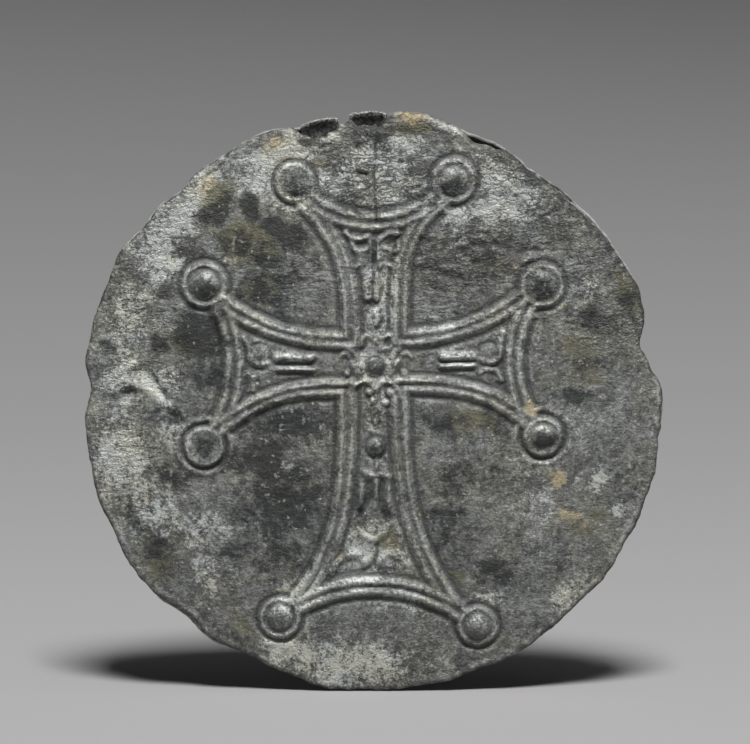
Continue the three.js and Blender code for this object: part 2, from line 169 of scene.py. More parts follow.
# Sunk strokes between them, as points, width and depth
SUNK_STROKES = [
    ([(0.3, 17.29), (0.3, 15.01)], 0.5, 0.16), ([(0.1, 13.98), (0.1, 11.39)], 0.4, 0.12),
    ([(-0.97, 10.98), (0.17, 10.93), (0.79, 11.39), (1.3, 12.64)], 0.6, 0.14),
    ([(0.89, 9.84), (0.99, 8.81), (0.58, 8.19)], 0.5, 0.14),
    ([(0.58, 6.43), (0.68, 5.5)], 0.4, 0.15), ([(0.68, 2.81), (0.73, 1.99)], 0.45, 0.16),
    ([(0.79, 1.57), (0.79, 0.95)], 0.5, 0.14),
    ([(-0.27, -7.94), (-0.45, -9.6), (-1.18, -11.25)], 0.8, 0.16),
    ([(1.08, -7.84), (0.99, -9.6), (1.3, -11.46)], 0.8, 0.16),
    ([(-4.07, -17.8), (-2.83, -17.3), (-0.5, -16.9), (0.45, -15.6), (0.5, -13.2)], 0.6, 0.18),
    ([(0.8, -16.9), (2.5, -16.9)], 0.6, 0.14), ([(-9.66, 4.61), (-6.04, 4.59)], 0.5, 0.12),
    ([(-9.66, 3.45), (-5.94, 3.41)], 0.55, 0.14),
    ([(-12.86, 5.19), (-12.35, 4.26), (-11.31, 3.95)], 0.5, 0.12),
    ([(7.2, 4.84), (10.51, 4.88)], 0.5, 0.12), ([(7.2, 3.79), (10.51, 3.85)], 0.55, 0.14),
    ([(13.81, 5.71), (13.4, 4.57), (12.26, 4.26)], 0.5, 0.12),
]
# Round beads and lobes: centre, radius and height
BEADS = [
    (0.45, -4.07, 0.83, 0.5), (-0.25, 1.68, 0.39, 0.34), (1.92, 1.68, 0.41, 0.34),
    (0.17, 0.74, 0.33, 0.3), (1.41, 0.59, 0.35, 0.3), (-2.52, 3.64, 0.33, 0.3),
    (3.37, 3.64, 0.41, 0.26), (0.48, -1.38, 0.35, 0.2), (-11.52, 5.6, 0.83, 0.2),
    (-12.09, 3.12, 0.33, 0.28), (12.16, 5.71, 0.83, 0.2),
]
# Oval hollows: centre, half width, half height and depth
HOLLOWS = [
    (-0.97, 16.98, 0.62, 0.41, 0.2), (2.23, 17.19, 0.67, 0.47, 0.2),
    (-0.51, 6.85, 0.26, 0.26, 0.04), (1.61, 6.85, 0.31, 0.31, 0.05), (13.09, 2.4, 0.62, 0.47, 0.2),
    (-3.87, 4.16, 0.31, 0.31, 0.14), (5.13, 4.26, 0.31, 0.31, 0.14), (3.37, 3.64, 0.23, 0.23, 0.2),
    (-0.56, 1.05, 0.26, 0.31, 0.1), (2.23, 0.95, 0.26, 0.31, 0.1),
]
# Creases in the sheet: points, width and height
CREASES = [
    ([(-0.05, 27.4), (0.1, 25.6), (-0.1, 24), (0.12, 21.8), (0.15, 19.2)], 0.3, 0.13),
    ([(0.2, 19.2), (0.2, 17.3), (0.3, 15.4)], 0.35, 0.08),
    ([(0, 27.3), (0.5, 27.7), (1.2, 27.5), (1.7, 26.8)], 0.4, 0.08),
    ([(-15.2, 15.1), (-12.3, 14.7), (-9.4, 13.9), (-5.6, 13.5), (-3.7, 13.3)], 0.4, 0.14),
    ([(-9.2, 14.4), (-7, 13.9), (-4.4, 13.8)], 0.35, 0.08),
    ([(-8.9, 13.2), (-6.4, 12.7), (-4, 12.5)], 0.35, 0.07),
    ([(-26.5, 1.6), (-25.6, 2.3), (-24.5, 2.45), (-23.3, 1.9), (-21.6, 0.55), (-21, 0)], 1.1, 0.2),
    ([(-26.5, 3.4), (-25.2, 4.2), (-23.7, 4.6)], 0.7, 0.14),
    ([(-22.2, -1.2), (-21.2, -0.6), (-20.6, -0.5)], 0.7, 0.18),
    ([(9.5, 19.6), (12, 20.2), (14.2, 21.8)], 0.6, 0.12),
]
FURROWS = [
    ([(0.38, 27.2), (0.42, 25.6), (0.25, 24), (0.42, 21.4), (0.5, 19.2)], 0.36, 0.2),
    ([(-23.4, 4.1), (-22.4, 3.3), (-21.7, 2), (-21.1, 0.8)], 1, 0.14),
    ([(-21, -0.4), (-20.3, -0.9), (-20.2, -1.6)], 0.9, 0.3),
    ([(7.9, 15.3), (9.2, 16.3), (11.2, 16.9), (13.1, 16.8), (15, 16.3), (17, 16.2)], 1, 0.2),
    ([(4, 14.6), (6.6, 14), (8.3, 13.5), (9.9, 12.9), (11.5, 12)], 1, 0.17),
    ([(8.6, 17.4), (10.8, 18), (13.4, 17.9)], 0.5, 0.16),
    ([(20.3, 8.7), (23, 8.2), (27.4, 8.3)], 0.4, 0.1),
    ([(20.6, 8), (24, 7.6), (27.3, 7.7)], 0.4, 0.08),
    ([(-13.4, 27.1), (-12.8, 27.4), (-12.1, 27.7)], 0.5, 0.25),
    ([(0.6, 23.4), (2.2, 22.9), (4.4, 22.6), (6, 22.4)], 0.5, 0.1),
    ([(-4.4, 26.2), (-3.2, 25.2), (-1.4, 24.4), (-0.4, 24)], 0.5, 0.12),
    ([(-24.6, 1.1), (-25.6, 1.2), (-26.3, 0.8)], 1, 0.1),
    ([(-18.3, -5), (-17.4, -4.2), (-16.6, -3.2)], 0.5, 0.12),
    ([(-18.1, -3.9), (-17.5, -3.2)], 0.5, 0.1), ([(-17.2, -5.2), (-16.5, -4.5)], 0.5, 0.1),
    ([(17, 12), (17.8, 12.9), (18.6, 12.6)], 0.5, 0.1),
]
# Dents: centre, half width, half height and depth
DENTS = [
    (-24.9, 0.7, 1.6, 1.1, 0.16), (-20.5, 3, 2.2, 2.8, 0.2), (16, -9.5, 3.5, 3, 0.15),
    (-12, -12, 5, 4, 0.2), (14, 5, 3.5, 2.5, 0.12), (-4.4, 25.2, 1.8, 2, 0.12),
    (-0.4, 28, 2.6, 1, 0.25),
]
# Fields of fine wrinkles, as of crumpled foil: centre, half width, half height, how far the
# wrinkles turn from level in degrees, and their height
WRINKLES = [
    (0.2, 23.8, 6.5, 4.2, 0, 0.14), (9.8, 15.4, 8.5, 4.5, -6, 0.12), (25.5, 8.2, 4.5, 1.8, -4, 0.1),
    (23, 15, 4, 5, 25, 0.08), (-8.5, 13.6, 6.5, 2.2, -8, 0.05), (-9, 26.6, 6, 2, 15, 0.06),
    (14.5, 23.6, 5.5, 3, 20, 0.1), (18.2, 19.6, 5, 3.6, 20, 0.11), (-24, 12, 3.5, 6.5, 20, 0.05),
    (-20.7, 2.9, 1.4, 1.2, -30, 0.14), (-25.6, 3.5, 2.6, 3.4, 0, 0.06),
    (-25.5, -4.5, 3, 4.5, 0, 0.05), (-20.5, 20, 6, 2.6, 47, 0.05), (0, 28.6, 3.4, 1.4, 0, 0.14),
    (4.5, 28, 3, 1.6, -10, 0.08),
]

# Scratches in the back: points, width and depth
BACK_SCRATCHES = [
    ([(-18, 9), (-9, 12.5), (3, 15), (13, 15.4)], 0.7, 0.1),
    ([(-14, 5.2), (-6, 7.6), (2, 8.4)], 0.6, 0.07),
    ([(9, 20), (12.5, 9), (14, -2), (13.6, -9)], 0.7, 0.09),
    ([(-3, -4), (5, -9.5), (15, -14)], 0.7, 0.09),
    ([(-20, -8), (-13, -10.5), (-6, -11)], 0.6, 0.08),
    ([(-8, 22), (-6.5, 19), (-6.2, 16)], 0.7, 0.1),
    ([(-12, -16), (-9, -21), (-8.5, -24)], 0.6, 0.08),
    ([(19, 3), (22, 6.5), (23.5, 10)], 0.6, 0.08),
]

# Broad tones of the old surface: centre, half width, half height, turn in degrees, strength
BLOOM_PATCHES = [
    # Crossing
    (0.4, 4.3, 2.4, 2.4, 0, 0.95),
    # Upper arm
    (3.3, 27.4, 3, 1.5, 0, 0.9), (-9, 26.2, 5, 2, 18, 1.05), (-4.4, 23, 2.4, 2.4, 0, 1),
    (0.2, 24.6, 4.4, 2.8, 0, 1.25), (3, 21.8, 4, 1.8, 0, 1.1), (7.5, 29.2, 1.8, 0.9, -20, 1),
    (1, 12, 2.4, 6, 0, 0.7),
    # Left arm
    (-20.6, -2.6, 2.4, 2.6, 0, 0.6), (-25.3, 9, 2.8, 5.5, -12, 0.65),
    (-25.3, 2.8, 2.6, 2.6, 0, 0.85), (-22.8, 2, 2.4, 1, -52, 1.3), (-20.9, 2.9, 1.4, 1.1, -35, 1.8),
    (-26.2, 3.2, 1.6, 1.2, 0, 1.1), (-25.8, -5.5, 2.8, 4.6, 0, 1.1), (-12.5, 5, 4, 4, 0, 0.45),
    (-8, 5, 3, 1.6, 0, 0.55), (-8.5, 8.5, 2.6, 1.2, 0, 0.3),
    # Right arm
    (15.2, 9.4, 2.6, 1.8, 20, 0.6), (9, 5.2, 3.5, 1.6, 0, 0.55), (14.5, 6.5, 3, 3.5, 0, 0.5),
    (22.5, 12.5, 1.6, 1.8, 0, 0.7), (20.5, -1.5, 6, 4, 0, 0.25),
    # Lower arm
    (-8.4, -25.6, 3.4, 1.8, -15, 0.95), (3.4, -20, 3.6, 1.6, 0, 0.65),
    (0.2, -14.8, 3.8, 3.4, 0, 0.85), (-0.6, -13.3, 0.6, 0.35, -20, 1.1),
    (0.4, -13.8, 0.6, 0.3, 15, 1), (-2, -15.3, 0.9, 0.4, 15, 1), (-1, -16.5, 0.8, 0.4, 0, 0.9),
    (1.6, -16, 0.7, 0.5, 0, 0.9), (2.6, -15.5, 0.6, 0.5, 0, 0.8), (0.6, 0, 2, 3.4, 0, 0.6),
    (0.4, -5.5, 2, 2, 0, 0.4), (-1.5, -17.6, 4.6, 1.8, 0, 0.85), (-7.4, -19.6, 3.4, 2.4, 30, 0.95),
    (-2, -27, 9, 3.2, 0, 0.87),
    # Upper left field
    (-8.4, 21.5, 3.2, 2.2, 0, 0.6), (-19.5, 20, 7, 2.6, 47, 1), (-21.5, 15.5, 3.6, 4, 30, 0.75),
    (-12, 23.5, 2.6, 1.6, 20, 0.9),
    # Upper right field
    (13.6, 23, 4.6, 2.4, -34, 1.05), (13, 20.6, 4, 1.8, 5, 0.95), (11.2, 20.5, 1.4, 0.6, 20, 1.6),
    (9, 19.6, 2.2, 1.6, 0, 0.95), (9.5, 17, 4, 2, 10, 0.4), (7, 9, 2.6, 1, 10, 0.5),
    # Lower left field
    (-22.8, -10.5, 3, 4.6, 25, 0.8), (-17.5, -12.8, 3.2, 2.6, 10, 0.75),
    (-17, -17.5, 3, 3.4, 30, 0.5),
    # Lower right field
    (23.5, -7.5, 1, 1.6, 0, 0.9), (25.6, -10.8, 0.8, 0.8, 0, 1.2), (16.5, -8.5, 4, 5.5, 0, 0.4),
    (12, -20, 2.6, 1.2, 0, 0.6), (20.5, -19.5, 3.4, 1.3, 45, 0.7),
]
DARK_PATCHES = [
    # Crossing
    (0.43, 4.3, 0.9, 0.9, 0, 2),
    # Upper arm; the two patches just below the top domes are painted shade
    (-7.9, 23.2, 0.9, 0.8, 0, 0.7), (-3.6, 23.4, 1, 1.8, 25, 0.5), (4.4, 21.8, 1.6, 0.8, 0, 0.8),
    (4.4, 24.4, 1.2, 1, 0, 0.6), (0.1, 27.7, 2.4, 0.8, 0, 0.8), (-6, 27.4, 2.2, 0.6, -5, 1.1),
    (8.4, 22.9, 1.4, 0.9, 0, 1.2), (-7.7, 22.1, 1.2, 0.4, 0, 1.1), (0.2, 15.9, 0.7, 2, 0, 0.9),
    (0, 11, 1, 0.5, 0, 1.1),
    # Left arm
    (-21.8, 11.8, 1, 0.7, 20, 0.9), (-17.8, 7.2, 2.9, 3.2, 20, 1.5), (-17, 3.4, 2.6, 2.2, 0, 1),
    (-22, 6.8, 1.5, 1.2, -20, 1), (-27.4, 6.6, 1, 0.8, 0, 0.8), (-20.2, -0.9, 1, 1, 0, 1.1),
    (-25.2, 1.8, 1.2, 0.45, 5, 1), (-21.9, 2.3, 1.6, 0.3, -55, 1.1),
    (-22.2, -0.4, 0.8, 0.5, 30, 0.9), (-17, 12.2, 1.4, 1.1, 0, 1.2),
    # Right arm
    (22.6, 9.6, 2.4, 1.4, 0, 1), (26.6, 11, 1.2, 2.6, 20, 0.9), (20.8, 1.2, 2, 1, 0, 1),
    (22.4, 4.4, 3, 2, 0, 0.5),
    # Lower arm
    (0.6, -9, 3.6, 3, 0, 0.45), (8, -12, 3, 5, 15, 0.8), (9.5, -26.8, 4.5, 1.2, 20, 0.45),
    (0.45, -4.07, 0.8, 0.8, 0, 1.4), (0.4, -0.6, 0.9, 1, 0, 0.8), (-1, -10.6, 0.8, 1.6, 10, 0.8),
    (1.4, -10.6, 0.7, 1.6, -8, 0.7),
    # Upper left field
    (-8.4, 9.6, 3, 1.6, 0, 0.6), (-16, 20.3, 1.9, 1.2, 35, 1.5), (-12.5, 20.8, 0.9, 1.7, 10, 1.7),
    (-10.3, 18.9, 1.5, 1, -20, 1.7), (-8, 17.6, 3, 1.8, -30, 0.9), (-13, 17, 3.2, 2, -10, 1),
    (-10.5, 15.2, 4.5, 1.4, -10, 0.8), (-19, 16.4, 1.8, 1.6, 0, 0.8), (-11, 12.2, 3, 2, 0, 0.9),
    (-9.8, 11, 1.6, 1.4, 0, 1.1),
    # Upper right field
    (9.4, 15.4, 5.5, 2, -5, 0.5), (13.5, 17.4, 3.4, 1.2, 0, 0.5), (8, 12.6, 2.6, 1, -15, 0.6),
    (25, 15.4, 1.8, 2, 0, 0.6), (17.6, 12.4, 1.1, 1.1, 0, 1.5),
    # Lower left field
    (-14.4, -14.6, 2.8, 2.8, 0, 0.6), (-17.3, -4.1, 1.1, 1.1, 0, 1.3),
    (-8.5, -1.6, 4.6, 2, -12, 1.35), (-11.5, -5, 4, 3.4, 0, 1.1), (-9, -10, 5, 5, 0, 1.15),
    (-20.6, -7.4, 2.2, 1.4, -30, 1), (-25, -10.8, 1, 2.6, 20, 0.9), (-22, -15, 1.8, 3.4, 28, 0.8),
    (-9.5, -15.5, 3.4, 2.6, 0, 0.8), (-14, -24, 3, 1.6, -35, 0.6),
    # Lower right field
    (9, -2.6, 3.4, 3, 0, 0.6), (26.8, -8.3, 2, 3.2, 0, 0.6), (7.5, -1.6, 3.4, 1.4, 0, 0.9),
    (12.6, -1.4, 1.8, 1.8, 0, 0.9), (9.5, -7.5, 3.6, 3.4, 0, 0.7), (13, -17, 4, 2.2, -20, 0.8),
    (19.5, -16, 3, 2.4, 20, 0.6), (17.5, -23.5, 3, 0.9, 35, 0.6), (17.75, -3.4, 1.2, 0.9, 0, 1.3),
]
OCHRE_PATCHES = [
    (4.2, 30, 1.9, 1.1, -8, 1.25), (2.3, 30, 0.5, 0.4, 0, 0.8), (16.5, 0.1, 1, 1.3, 0, 1.2),
    (19.3, -7.4, 1.15, 1.1, 0, 1.3), (20.4, -11.2, 1.7, 0.9, -15, 1.05),
    (22, -12.4, 0.8, 0.5, 0, 0.8), (-9.9, 27.4, 2, 1, 15, 0.95), (-5.4, 25.4, 1.2, 1.4, 0, 0.7),
    (-16.9, 23, 1.8, 1.3, 45, 1), (-19.8, 21, 1.8, 0.9, 45, 0.6), (-8.6, 19.4, 0.8, 0.5, 0, 0.6),
    (-23.5, -9.6, 0.6, 0.6, 0, 0.7), (-3.2, -15.6, 1.2, 0.9, 40, 0.65),
    (3.4, -13.4, 0.8, 0.8, 0, 0.5), (15, 14.6, 0.6, 0.9, 0, 0.8), (19.9, 10.6, 0.6, 0.4, 0, 0.9),
    (-9.3, -19.2, 0.3, 0.3, 0, 1.3), (13.6, -23.3, 0.8, 0.4, 0, 0.6), (23.4, -18, 1.2, 1.2, 0, 0.6),
    (-12.9, -20.9, 0.4, 0.4, 0, 0.9), (21.2, 2.6, 1.4, 1.6, 0, 0.5),
]
OLIVE_PATCHES = [
    (-12.6, 16.9, 3.4, 2.2, -15, 1.9), (-11.4, 12.5, 2.4, 1.8, 0, 1.15),
    (4, 28.7, 2.6, 0.9, 0, 1.2), (-15.6, 22, 2.8, 1.4, 45, 1.2), (-19.4, 6.9, 2.2, 1.6, -30, 1),
    (13, 14.4, 2.6, 2, 0, 0.8), (22, 5, 3.5, 4.5, 0, 0.8), (26.4, 12.4, 1.4, 3, 20, 1),
    (10.6, -1.2, 3.6, 1.6, 0, 0.9), (22.5, -12, 4, 4, 0, 0.7), (5.4, -11, 1.2, 1, 0, 0.9),
    (8.8, -17.6, 1.6, 1.6, 0, 0.9), (-22.4, -15.6, 1.8, 3.2, 28, 1),
    (-13.6, -22.4, 2.4, 1.4, -35, 0.7), (1.4, -13.8, 2, 1.6, 0, 1), (12.8, -24.6, 1.6, 0.8, 0, 0.9),
]

# Where a groove still runs inside the edge: angle in degrees, and how far it fades
RIM_BANDS = [(222, 22), (318, 20), (128, 14)]

# Solder between the sheets: the node, and the angles that it runs between
SEAMS = {
    "rim_solder_lower": (181, 366),
    "rim_solder_upper_right": (22, 61),
    "rim_solder_upper_left": (112, 168),
}
# Stubs of the loop: the node, the angle that each stands at, and its crown past the circle
STUBS = {"loop_stub_left": (100.4, 0.1), "loop_stub_right": (90.6, 0.5)}
STUB_WIDTH = 4.0
STUB_FOOT = 3.1
# Height of the curl at a stub's torn crown, and how far the solder lies inside the edge
STUB_CURL = 0.38
SOLDER_INSET = 0.85
# Torn bays in the front sheet over the stubs: angle, half width and depth
BAYS = [(100.8, 2.4, 2.0), (90.6, 2.05, 1.3)]

# Shares of the radius of a boss's ring: where the dome ends, the spread of its dent and of the
# ring, then the middle and spread of the groove round the dome, the outer groove and the lip
DOME_END = 0.76
DENT_SPREAD = 0.4
RING_SPREAD = 0.13
DOME_GROOVE = (0.84, 0.07)
RING_GROOVE = (1.3, 0.12)
RING_LIP = (1.6, 0.14)
# Groove beside a line: how far its middle is from the line's, and its spread
LINE_GROOVE = (0.8, 0.3)
# Edge of the sheets: how far it ripples and crumbles, and how far it is drawn in for that
EDGE_RIPPLE = 0.07
EDGE_CRUMBS = 0.14
EDGE_INSET = 0.16
# Torn wall between the two sides of a sheet: its rows as shares of the way, its swell and the
# roughness of that, and the share of the radius from which the points follow the uneven edge
WALL_ROWS = (0.3, 0.7)
WALL_SWELL = 0.0432
WALL_ROUGHNESS = 0.0288
EDGE_ZONE = 0.86
PLAIN_RINGS = (1, 0.99, 0.97, 0.9, 0.75, 0.5, 0.25)
# Height of the wrinkles that counts as fully crumpled, and depth of dent that has worn a boss
FULL_WRINKLES = 0.1
WORN_DENT = 0.2
# Points of a smooth curve from one given point to the next, and degrees past which edges are sharp
CURVE_STEPS = 6
SHARP_ANGLE = 50


def length_setting(name, description, default):
    """A size that the user can change, its default in millimetres."""
    return FloatProperty(name=name, description=description, default=default * MM, unit="LENGTH")


def angle_setting(name, description, default):
    """An angle that the user can change, its default in degrees."""
    return FloatProperty(
        name=name, description=description, default=math.radians(default), subtype="ANGLE"
    )


def colour_setting(name, description, default):
    """A colour that the user can change."""
    return FloatVectorProperty(
        name=name, description=description, default=default, subtype="COLOR", min=0, max=1
    )


class MEDALLION_PG_sheets(PropertyGroup):
    """Sizes of the two sheets and of the relief pressed into the front one."""

    bulge: length_setting("Bulge", "Swell of the front sheet", 1.3)
    thickness: length_setting("Thickness", "Thickness of the front sheet", 0.5)
    line_width: length_setting("Line width", "Width of one line of the cross", 1.15)
    line_gap: length_setting("Line gap", "From the middle of one line of a pair to the other", 1.02)
    line_height: length_setting("Line height", "Height of the lines of the cross", 0.34)
    dome_height: length_setting("Dome height", "Height of an unworn boss", 0.85)
    ring_height: length_setting("Ring height", "Height of the ring round a boss", 0.36)
    front_cells: IntProperty(
        name="Front cells", description="Cells across the front sheet", default=296, min=40
    )
    back_cells: IntProperty(
        name="Back cells", description="Cells across the back sheet", default=220, min=40
    )


class MEDALLION_PG_patina(PropertyGroup):
    """Colours of the old metal."""

    metal: colour_setting("Metal", "Dull grey metal", (0.112, 0.113, 0.105))
    # Bloom is also laid on as painted highlight: on the upper side of domes, along line crests, on the
    # back's edge and on the stubs' lips
    bloom: colour_setting("Bloom", "Pale bloom", (0.45, 0.455, 0.425))
    # Tarnish is also laid on as painted shade: along the end lines, in the edge gap, on the back's inner
    # face, in the torn stubs and below the top domes
    dark: colour_setting("Tarnish", "Dark tarnish", (0.02, 0.022, 0.022))
    olive: colour_setting("Olive", "Greenish tarnish", (0.085, 0.079, 0.042))
    ochre: colour_setting("Ochre", "Earthy spots", (0.37, 0.3, 0.175))


class MEDALLION_PG_stage(PropertyGroup):
    """Camera, light and floor."""

    camera_height: angle_setting("Camera height", "Angle of the camera above level", 7)
    camera_distance: length_setting("Camera distance", "From the camera to the face", 700)
    field_width: length_setting("Field width", "Width of the view at the face", 77.55)
    light_height: angle_setting("Light height", "Angle of the main light above level", 61)
    light_power: FloatProperty(
        name="Light power", description="Power of the main light", default=56.5, subtype="POWER"
    )
    floor: colour_setting("Floor", "Colour of the floor", (0.223, 0.219, 0.22))
    backdrop: colour_setting("Backdrop", "Colour high up the backdrop", (0.224, 0.218, 0.218))


def turned(x, y, turn):
    """Points measured along axes turned by an angle in radians: x cos + y sin, y cos - x sin."""
    cos, sin = math.cos(turn), math.sin(turn)
    return x * cos + y * sin, y * cos - x * sin


def noise(x, y, size, seed):
    """Smooth noise from -1 to 1: seeded random numbers on a square lattice with cells of that
    size, blended across each cell by the weight 3t^2 - 2t^3."""
    count = 128
    lattice = np.random.default_rng(seed).uniform(-1, 1, (count, count))
    u, v = x / size, y / size
    i, j = np.floor(u).astype(int), np.floor(v).astype(int)
    s, t = u - i, v - j
    s, t = s * s * (3 - 2 * s), t * t * (3 - 2 * t)
    i, j, after_i, after_j = i % count, j % count, (i + 1) % count, (j + 1) % count
    low = lattice[i, j] * (1 - s) + lattice[after_i, j] * s
    high = lattice[i, after_j] * (1 - s) + lattice[after_i, after_j] * s
    return low * (1 - t) + high * t


def cloud(x, y, size, seed, octaves=4):
    """Noise summed over octaves: each is half as large and half as strong as the last one, and
    turned by a fixed angle so that the lattices don't line up."""
    total = 0.0
    for octave in range(octaves):
        u, v = turned(x, y, -0.65 * octave)
        total = total + 0.5**octave * noise(u, v, size / 2**octave, seed + octave)
    return total / 1.6


def fade(value, low, high):
    """0 below low, 1 above high, and 3t^2 - 2t^3 between."""
    share = np.clip((value - low) / (high - low), 0, 1)
    return share * share * (3 - 2 * share)


def hump(value, middle, spread):
    """Soft bump along a line: exp(-((value - middle) / spread)^2)."""
    return np.exp(-(((value - middle) / spread) ** 2))


def oval(x, y, centre_x, centre_y, half_width, half_height, turn=0):
    """Soft oval patch: exp(-q^2), where q is the distance from the centre in half widths and half
    heights of an oval turned by that many degrees."""
    u, v = turned(x - centre_x, y - centre_y, math.radians(turn))
    u, v = u / half_width, v / half_height
    return np.exp(-(u * u + v * v))


def patches(x, y, table):
    """The strongest of the soft ovals in a table at each point."""
    total = np.zeros(x.shape)
    for *shape, strength in table:
        total = np.maximum(total, strength * oval(x, y, *shape))
    return total


def ridge(distance, width):
    """Section of a rounded stroke: (1 - (2d / width)^2)^1.5, and 0 beyond half the width."""
    return np.clip(1 - (2 * distance / width) ** 2, 0, 1) ** 1.5


def roof(distance, width):
    """Section of a pressed line: 1 - 2d / width, and 0 beyond half the width."""
    return np.clip(1 - 2 * distance / width, 0, 1)


def cap(distance, radius):
    """Section of a dome: (1 - (d / radius)^2)^0.5, and 0 beyond the radius."""
    return np.sqrt(np.clip(1 - (distance / radius) ** 2, 0, 1))


def smooth(points):
    """Points along the Catmull-Rom curve through the given ones, its ends doubled."""
    knots = np.array(points, float)
    knots = np.vstack([2 * knots[0] - knots[1], knots, 2 * knots[-1] - knots[-2]])
    a, b, c, d = knots[:-3], knots[1:-2], knots[2:-1], knots[3:]
    t = np.linspace(0, 1, CURVE_STEPS, endpoint=False)[:, None, None]
    curve = b + 0.5 * t * (c - a + t * (2 * a - 5 * b + 4 * c - d + t * (3 * (b - c) + d - a)))
    return np.vstack([curve.transpose(1, 0, 2).reshape(-1, 2), knots[-2]])


def path_distance(x, y, points):
    """Distance from every (x, y) to the nearest point of the line through the points, where it is
    within a margin of the box round them, and FAR elsewhere."""
    margin = 2
    low, high = np.min(points, 0) - margin, np.max(points, 0) + margin
    near = (x > low[0]) & (x < high[0]) & (y > low[1]) & (y < high[1])
    px, py = x[near], y[near]
    best = np.full(px.shape, FAR)
    for (ax, ay), (bx, by) in zip(points[:-1], points[1:]):
        dx, dy = bx - ax, by - ay
        share = np.clip(((px - ax) * dx + (py - ay) * dy) / (dx * dx + dy * dy), 0, 1)
        best = np.minimum(best, np.hypot(px - ax - share * dx, py - ay - share * dy))
    distance = np.full(x.shape, FAR)
    distance[near] = best
    return distance


def strokes(x, y, table, widen):
    """For each stroke of a table, its height or depth times the section at each point, with the
    width in the table widened by that factor."""
    for points, width, size in table:
        yield size * ridge(path_distance(x, y, smooth(points)), widen * width)


def angle_of(x, y):
    """Angle of each point in degrees, counter-clockwise from the right."""
    return np.degrees(np.arctan2(y, x))


def away_from(degrees, middle):
    """Degrees from the middle to each angle, the short way round."""
    return (degrees - middle + 180) % 360 - 180


def edge_radius(degrees, flaws):
    """Radius of the edge at angles in degrees: the circle, a fine ripple, each flaw as a bump
    or dent rise * exp(-(away / spread)^2), and crumbs from noise read round the circle."""
    turn = np.radians(degrees)
    radius = DISC_RADIUS + EDGE_RIPPLE * (np.sin(17 * turn) + np.cos(29 * turn))
    for middle, rise, spread in flaws:
        radius = radius + rise * hump(away_from(degrees, middle), 0, spread)
    x, y = DISC_RADIUS * np.cos(turn), DISC_RADIUS * np.sin(turn)
    return radius - EDGE_INSET + EDGE_CRUMBS * cloud(x, y, 1.1, 31 + len(flaws))


def torn_bays(degrees, radius):
    """The edge cut back over each stub by depth * (1 - (across / half width)^2)^0.7, with a
    ragged lip from noise."""
    for middle, half_width, depth in BAYS:
        away = away_from(degrees, middle)
        across = np.where(abs(away) < 30, DISC_RADIUS * np.sin(np.radians(away)), FAR)
        rag = cloud(across, middle + 0 * across, 0.6, 66, 5)
        share = np.clip(1 - (np.abs(across + 0.25 * rag) / half_width) ** 2, 0, 1) ** 0.7
        cut = DISC_RADIUS - (depth + 0.5 * rag) * share
        radius = np.where(share > 0, np.minimum(radius, cut), radius)
    return radius


def front_edge(degrees):
    """Radius of the front sheet's edge."""
    return torn_bays(degrees, edge_radius(degrees, SHARED_FLAWS + FRONT_FLAWS))


def back_edge(degrees):
    """Radius of the back sheet's edge."""
    return edge_radius(degrees, SHARED_FLAWS + BACK_FLAWS)


def inward(x, y, edge):
    """How far each point is inside the edge."""
    return edge(angle_of(x, y)) - np.hypot(x, y)


def flare_line(corner, side, upright, shift):
    """One line along the side of an arm: its distance from the corner's level grows with a power
    of the distance run, up to a point on the boss's ring, and it is set off sideways by shift."""
    name, arrival, flare = side
    x, y = BOSSES[name][:2]
    end = np.array([
        x + LINE_REACH * math.cos(math.radians(arrival)),
        y + LINE_REACH * math.sin(math.radians(arrival)),
    ])
    away = end - corner
    run, spread_out = (away[1], away[0]) if upright else (away[0], away[1])
    slope = flare * spread_out / run
    slant = math.hypot(1, slope)
    outward = math.copysign(1, spread_out)
    t = np.linspace(0, 1, 25)
    start = math.copysign(1, run) * shift
    along = start + (run - outward * shift * slope / slant - start) * t
    across = outward * shift * (1 + (1 / slant - 1) * t) + spread_out * t**flare
    step = (across, along) if upright else (along, across)
    return np.stack([corner[0] + step[0], corner[1] + step[1]], 1)


def end_line(first, last, sagitta, shift):
    """One line of a hollow arm end: the circular arc through two boss centres with that
    sagitta, cut back to the rings, its radius changed by shift."""
    (ax, ay), (bx, by) = BOSSES[first][:2], BOSSES[last][:2]
    chord = math.hypot(bx - ax, by - ay)
    radius = chord * chord / (8 * sagitta) + sagitta / 2
    out_x, out_y = (ay - by) / chord, (bx - ax) / chord
    centre_x = (ax + bx) / 2 + out_x * (radius - sagitta)
    centre_y = (ay + by) / 2 + out_y * (radius - sagitta)
    half = math.asin(chord / (2 * radius))
    trim = LINE_REACH / radius
    turn = math.atan2(-out_y, -out_x) + np.linspace(trim - half, half - trim, 21)
    reach = radius + shift
    return np.stack([centre_x + reach * np.cos(turn), centre_y + reach * np.sin(turn)], 1)


def cross_lines(gap):
    """All lines of the cross as (points, share of the full height, depth of the grooves beside
    it). Of each pair, the line nearer the middle of an upright arm is faint, and the end line
    nearer the rim has deeper grooves."""
    lines = []
    for shift in (-gap / 2, gap / 2):
        faint, deep = (0.65, 0.22) if shift < 0 else (1.0, 0.16)
        for corner, upright, level in QUARTERS:
            lines.append((flare_line(corner, upright, True, shift), faint, 0.16))
            lines.append((flare_line(corner, level, False, shift), 1.0, 0.16))
        for first, last, sagitta in ARM_ENDS:
            lines.append((end_line(first, last, sagitta, shift), 1.0, deep))
    return lines


